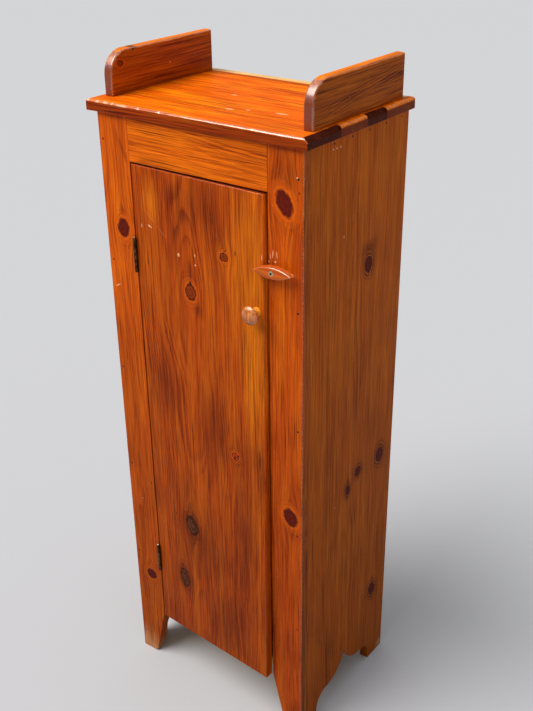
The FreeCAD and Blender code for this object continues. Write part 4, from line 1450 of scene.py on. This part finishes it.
dress(right_side, board_finish(
    "right_side_varnished_pine", SIDE_AXES, heart=(150, 560), low_shade=0.36, raw_face=("X", -1),
    knots=[(193.1, 935, 10.5, 14, 8, "eye"), (259.8, 518.3, 12, 15, 10, "eye"),
           (182.7, 522.6, 9, 10, 0, "eye"), (148.4, 498.1, 7, 10, 14, "eye"),
           (254.2, 189, 11, 14, 14, "eye")],
    marks=[(193, 965, 26, 16, 0, "shade"), (182.7, 545, 5, 20, 0, "shade"),
           (113.9, 1007.7, 1.6, 1.6, 0, "pale"), (105.5, 482.6, 1.6, 1.6, 0, "pale"),
           (78.5, 1158, 2, 1.5, 0, "pale"), (88, 1158, 2, 1.5, 0, "pale"),
           (97.9, 1158, 2, 1.5, 0, "pale"), (296, 10, 14, 14, 0, "dust")], **SIDE_LOOK))
dress(left_side, board_finish(
    "left_side_varnished_pine", SIDE_AXES, heart=(170, -140), low_shade=0.25, raw_face=("X", 1),
    knots=[(120, 860, 10, 14, -8, "eye"), (228, 560, 8, 11, 6, "red"),
           (92, 318, 9, 12, 0, "eye")], **SIDE_LOOK))
print("sides dressed")

# %% [markdown]
# ## The top's finish
# The top is the brightest board. Its front edge is chipped in a few places, a raw strip at the
# back shows where a board once stood, and the worn stretches of the right edge are darkened and
# lose their varnish. The stretches of edge between them are painted bright orange, which is
# painted light.

# %% The top's finish
LYING_WIDE = ("Y", "Z", "X")
low, high = measure("top_board")
worn_edge = high.x - WORN_WIDTH - 1
lit_blocks = (WORN[0][1], WORN[1][0]), (WORN[1][1], high.y)
# the worn stretches are darkened and lose their varnish
dark_stretch_areas = [((start + 3, low.z + 1, worn_edge), (end, high.z + 1, high.x + 1), "dark_stretch")
               for start, end in WORN]
# the stretches between the worn ones are painted bright: painted light
painted_light_areas = [((start + 2, high.z - 4, worn_edge + 1), (end - 2, high.z + 1, high.x - 1),
                 "bright") for start, end in lit_blocks]
dress(top, board_finish(
    "top_varnished_pine", LYING_WIDE, heart=(120, 1060), ring=3.4, lean=0.05, lines=0.75,
    blotches=0.3, ambers=0.7, grain=1.3, face_tint_and_light=("Y", -1, (0.38, 0.28, 0.8)),
    marks=[(150.4, 174.1, 2, 7, 0, "pale"), (69.6, 228, 3, 9, 0, "pale"),
           (89.3, 316.1, 3, 13, 0, "pale"), (80.6, 256.4, 2, 5, 0, "pale"),
           # the tan mark beside the right gallery end is painted shade and reflection of the
           # gallery on the top
           (282, 200, 5, 240, 0, "shade"), (20, 360, 40, 60, 0, "tan"),
           (-5, 27, 5, 5, 0, "chip"), (-5, 42.6, 5, 2, 0, "chip"), (-5, 100, 5, 2, 0, "chip"),
           (-5, 145, 5, 2, 0, "chip"), (-4, -13, 9, 5, 0, "chip"), (-5, 9, 4, 4, 0, "chip"),
           (-6, 64, 2, 13, 0, "chip"), (-6, 330, 2, 3, 0, "chip")],
    raw_box=((288, high.z - 0.5, -4), (high.y + 1, high.z + 1, 417)),
    areas=dark_stretch_areas + painted_light_areas,
    paint={"early": colour(232, 98, 6), "amber": colour(242, 130, 10),
           "end": colour(88, 28, 12)}))
print("top dressed")

# %% [markdown]
# ## The gallery ends' finish
# The gallery ends are a browner pine with a softer varnish. A bright orange band along their upper
# edge is a painted highlight, and their front faces are lightened and turned pinkish as a painted
# reflection. Light runs down the rounded front corner, so the band and the corner both get an area
# of their own.

# %% The gallery ends' finish
LYING = ("Z", "X", "Y")
# the front faces are lightened and turned pinkish: a painted reflection of the bright room
GALLERY_LOOK = dict(coat_rough=0.3, face_tint_and_light=("Y", -1, (1.1, 1.8, 14)))
CREST = 1265.5


def corner_gleam(low_x, high_x):
    return (1190, low_x, 20), (1260, high_x, 30), "gleam"


# the bright band along the upper edge is a painted highlight
def lit_crest(low_x, high_x, start, end=345):
    return (CREST, low_x, start), (CREST + 4.5, high_x, end), "bright"


dress(left_gallery, board_finish(
    "left_gallery_varnished_pine", LYING, heart=(1150, 120), ring=3.4, lean=-0.05, lines=0.5,
    blotches=0.6, grain=1.25, knots=[(1245.9, 49.3, 5.5, 7, 10, "ringed")],
    marks=[(1266, 82, 4, 3.5, 0, "pitch"), (1228.5, 171.9, 1.5, 1.5, 0, "pale")],
    areas=[corner_gleam(-10, 20), lit_crest(-10, 20, 45, 74), lit_crest(-10, 20, 92)],
    # the stronger rub is worn pale edges, and partly a painted highlight along the upper edge
    rub=0.5, paint={"early": colour(174, 82, 8), "amber": colour(192, 100, 9),
                    "bright": colour(224, 112, 12)}, **GALLERY_LOOK))
dress(right_gallery, board_finish(
    "right_gallery_varnished_pine", LYING, heart=(1130, 330), ring=3.0, lean=-0.16, lines=0.9,
    blotches=0.5, grain=1.5, scuffs=0.25,
    areas=[corner_gleam(398, 420), lit_crest(390, 430, 40)],
    paint={"early": colour(168, 78, 7), "amber": colour(186, 98, 10),
           "blotch": colour(88, 32, 9), "late": colour(84, 30, 8),
           "bright": colour(224, 112, 12)}, **GALLERY_LOOK))
print("gallery ends dressed")

# %% [markdown]
# ## Bare wood inside
# Nobody stains what nobody sees. The shelves, their cleats and the back are the same pine, left
# bare, and have only gone golden with age. They use the same board finish with another paint
# chart and no varnish. The three back boards differ in their knots and in how much they greyed.

# %% Inside boards
def bare_finish(name, axes, heart, **more):
    return board_finish(name, axes, heart, paint=BARE, coat=0, polish=0, specular=0.3,
                        gloss=0.6, lines=0.55, rub=0, end_grain=0.4, grain=0.7, **more)


shelf_bare = bare_finish("shelf_bare_pine", LYING_WIDE, heart=(150, 560), wander=22)
cleat_bare = bare_finish("cleat_bare_pine", LYING, heart=(300, 60))
for name, piece in nodes.items():
    if name.endswith("_shelf"):
        dress(piece, shelf_bare)
    elif name.endswith("_cleat"):
        dress(piece, cleat_bare)
dress(nodes["door_stop"], bare_finish("stop_bare_pine", UPRIGHT, heart=(300, 90)))
dress(nodes["rail_backer"], bare_finish("backer_bare_pine", SIDEWAYS, heart=(1040, 80)))

# each back board's heart, how much it greyed, and its knots
BACK_BOARDS = {
    "left": ((60, 420), 0.3, [(92, 700, 9, 15, 5, "red"), (52, 330, 7, 10, 0, "red")]),
    "middle": ((215, 380), 0.55, [(214, 930, 8, 13, -6, "red"),
                                  (236, 480, 10, 16, 4, "ringed")]),
    "right": ((330, 450), 0.4, [(330, 600, 9, 13, 8, "red"), (372, 1020, 7, 11, 0, "red")]),
}
for side, (heart, greyed, knots) in BACK_BOARDS.items():
    dress(nodes["back_board_" + side], bare_finish(f"back_{side}_bare_pine", UPRIGHT, heart,
                                                   knots=knots, blotches=greyed))
print("inside boards dressed")

# %% [markdown]
# ## Metal
# The hinges have gone brown, and only the tips of their pins still shine. Screws and nails are
# steel that has dulled. All are one small metal recipe: a colour that a cloud of tarnish darkens,
# and which is rougher where it is tarnished. The turn button's screw is handled and brighter, and
# the middle of its head is painted dark, as painted shade in its recess.

# %% Metal finishes
RECESS_SHADE = colour(24, 18, 12)
RECESS_EDGE = 0.4
TARNISH_ROUGH = 0.25


def metal_finish(name, bright, dull, tarnish=0.5, rough=0.35, recess_shade=None):
    """A metal's material; dirt is (x, z, radius) of a dark spot, in the maker's millimetres.
    The spot is painted shade in a screw's recess.
    """
    material, shader = start_finish(name)
    place = board_place("X", "Y", "Z")
    mask = step(cloud(place, 0.22, 0.12, 3, 0.6), tarnish - 0.25, tarnish + 0.2)
    tint = blend(mask, dull, bright)
    if recess_shade:
        middle_x, middle_z, radius = recess_shade
        x, y, z = split(place)
        away = calc("SQRT", (x - middle_x) ** 2 + (z - middle_z) ** 2)
        # the dark spot is painted shade in the screw's recess
        tint = blend(step(away, radius - RECESS_EDGE, radius + RECESS_EDGE), RECESS_SHADE, tint)
    fill_in(shader, Base_Color=tint, Metallic=0.85,
            Roughness=rough + TARNISH_ROUGH - mask * TARNISH_ROUGH)
    return material


# the metal of the nodes whose names end so; the last entry takes its one screw over again
METALS = {
    "_leaf": metal_finish("browned_hinge_metal", colour(122, 88, 48), colour(52, 32, 18), 0.6),
    "_pin": metal_finish("pin_metal", colour(196, 176, 140), colour(96, 70, 44), 0.4),
    "_nails": metal_finish("nail_metal", colour(74, 60, 50), colour(30, 22, 18), 0.55, 0.5),
    ("_screws", "_screw"): metal_finish("screw_metal", colour(124, 112, 94),
                                        colour(66, 56, 44)),
    "turn_button_screw": metal_finish("button_screw_metal", colour(206, 190, 150),
                                      colour(120, 100, 70), 0.35,
                                      recess_shade=(BUTTON_X, BUTTON_Z, 2.1)),
}
for ending, metal in METALS.items():
    matching = [piece for name, piece in nodes.items() if name.endswith(ending)]
    for piece in matching:
        dress(piece, metal)
    print(metal.name, "on", len(matching), "nodes")

# %% [markdown]
# ## Turned and carved wood
# The knob is a paler wood, spotted by years of hands, with a bright neck that nobody touches. A
# pale band along the top of its head is a painted highlight, and a dark band along its underside
# is painted shade. The turn button is carved from stained wood with its grain lying along it, and
# the spacer behind it is the same. Both are the board finish again, with tones of their own.

# %% Knob, button and spacer
dress(knob, board_finish(
    "knob_turned_wood", UPRIGHT, heart=(300, 40), ring=2.2, lines=0.35, blotches=0.8,
    marks=[(328, 893, 7, 6, 30, "shade"), (340, 905, 5, 5, 0, "glow"),
           (331, 909, 5, 3, -20, "shade"), (342, 892, 4, 5, 0, "shade"),
           # the pitch band along the bottom of the head is painted shade, and the dust band along
           # its top a painted highlight
           (336, 885, 16, 4, 0, "pitch"), (335, 914, 9, 3, 0, "dust")],
    areas=[((325, -20, 890), (345, 12, 910), "bright")],
    coat=0.2, polish=0.5, specular=0.1, end_grain=0, gloss=0.25, rub=0, ambers=0.6, scuffs=0,
    paint={"early": colour(204, 108, 56), "late": colour(140, 60, 30),
           "blotch": colour(112, 56, 38), "amber": colour(236, 146, 60),
           "shade": colour(96, 46, 30), "glow": colour(244, 164, 74),
           "pitch": colour(84, 42, 28), "bright": colour(240, 150, 40)}))
button_wood = board_finish(
    "button_stained_wood", SIDEWAYS, heart=(900, 60), ring=2.0, lines=0.8, blotches=0.5,
    specular=0.05, end_grain=0, gloss=0.25, rub=0.5,
    paint={"early": colour(196, 88, 26), "late": colour(120, 40, 14),
           "blotch": colour(136, 50, 20), "amber": colour(222, 116, 34)})
dress(button, button_wood)
dress(nodes["turn_button_spacer"], button_wood)
print("knob, button and spacer dressed")
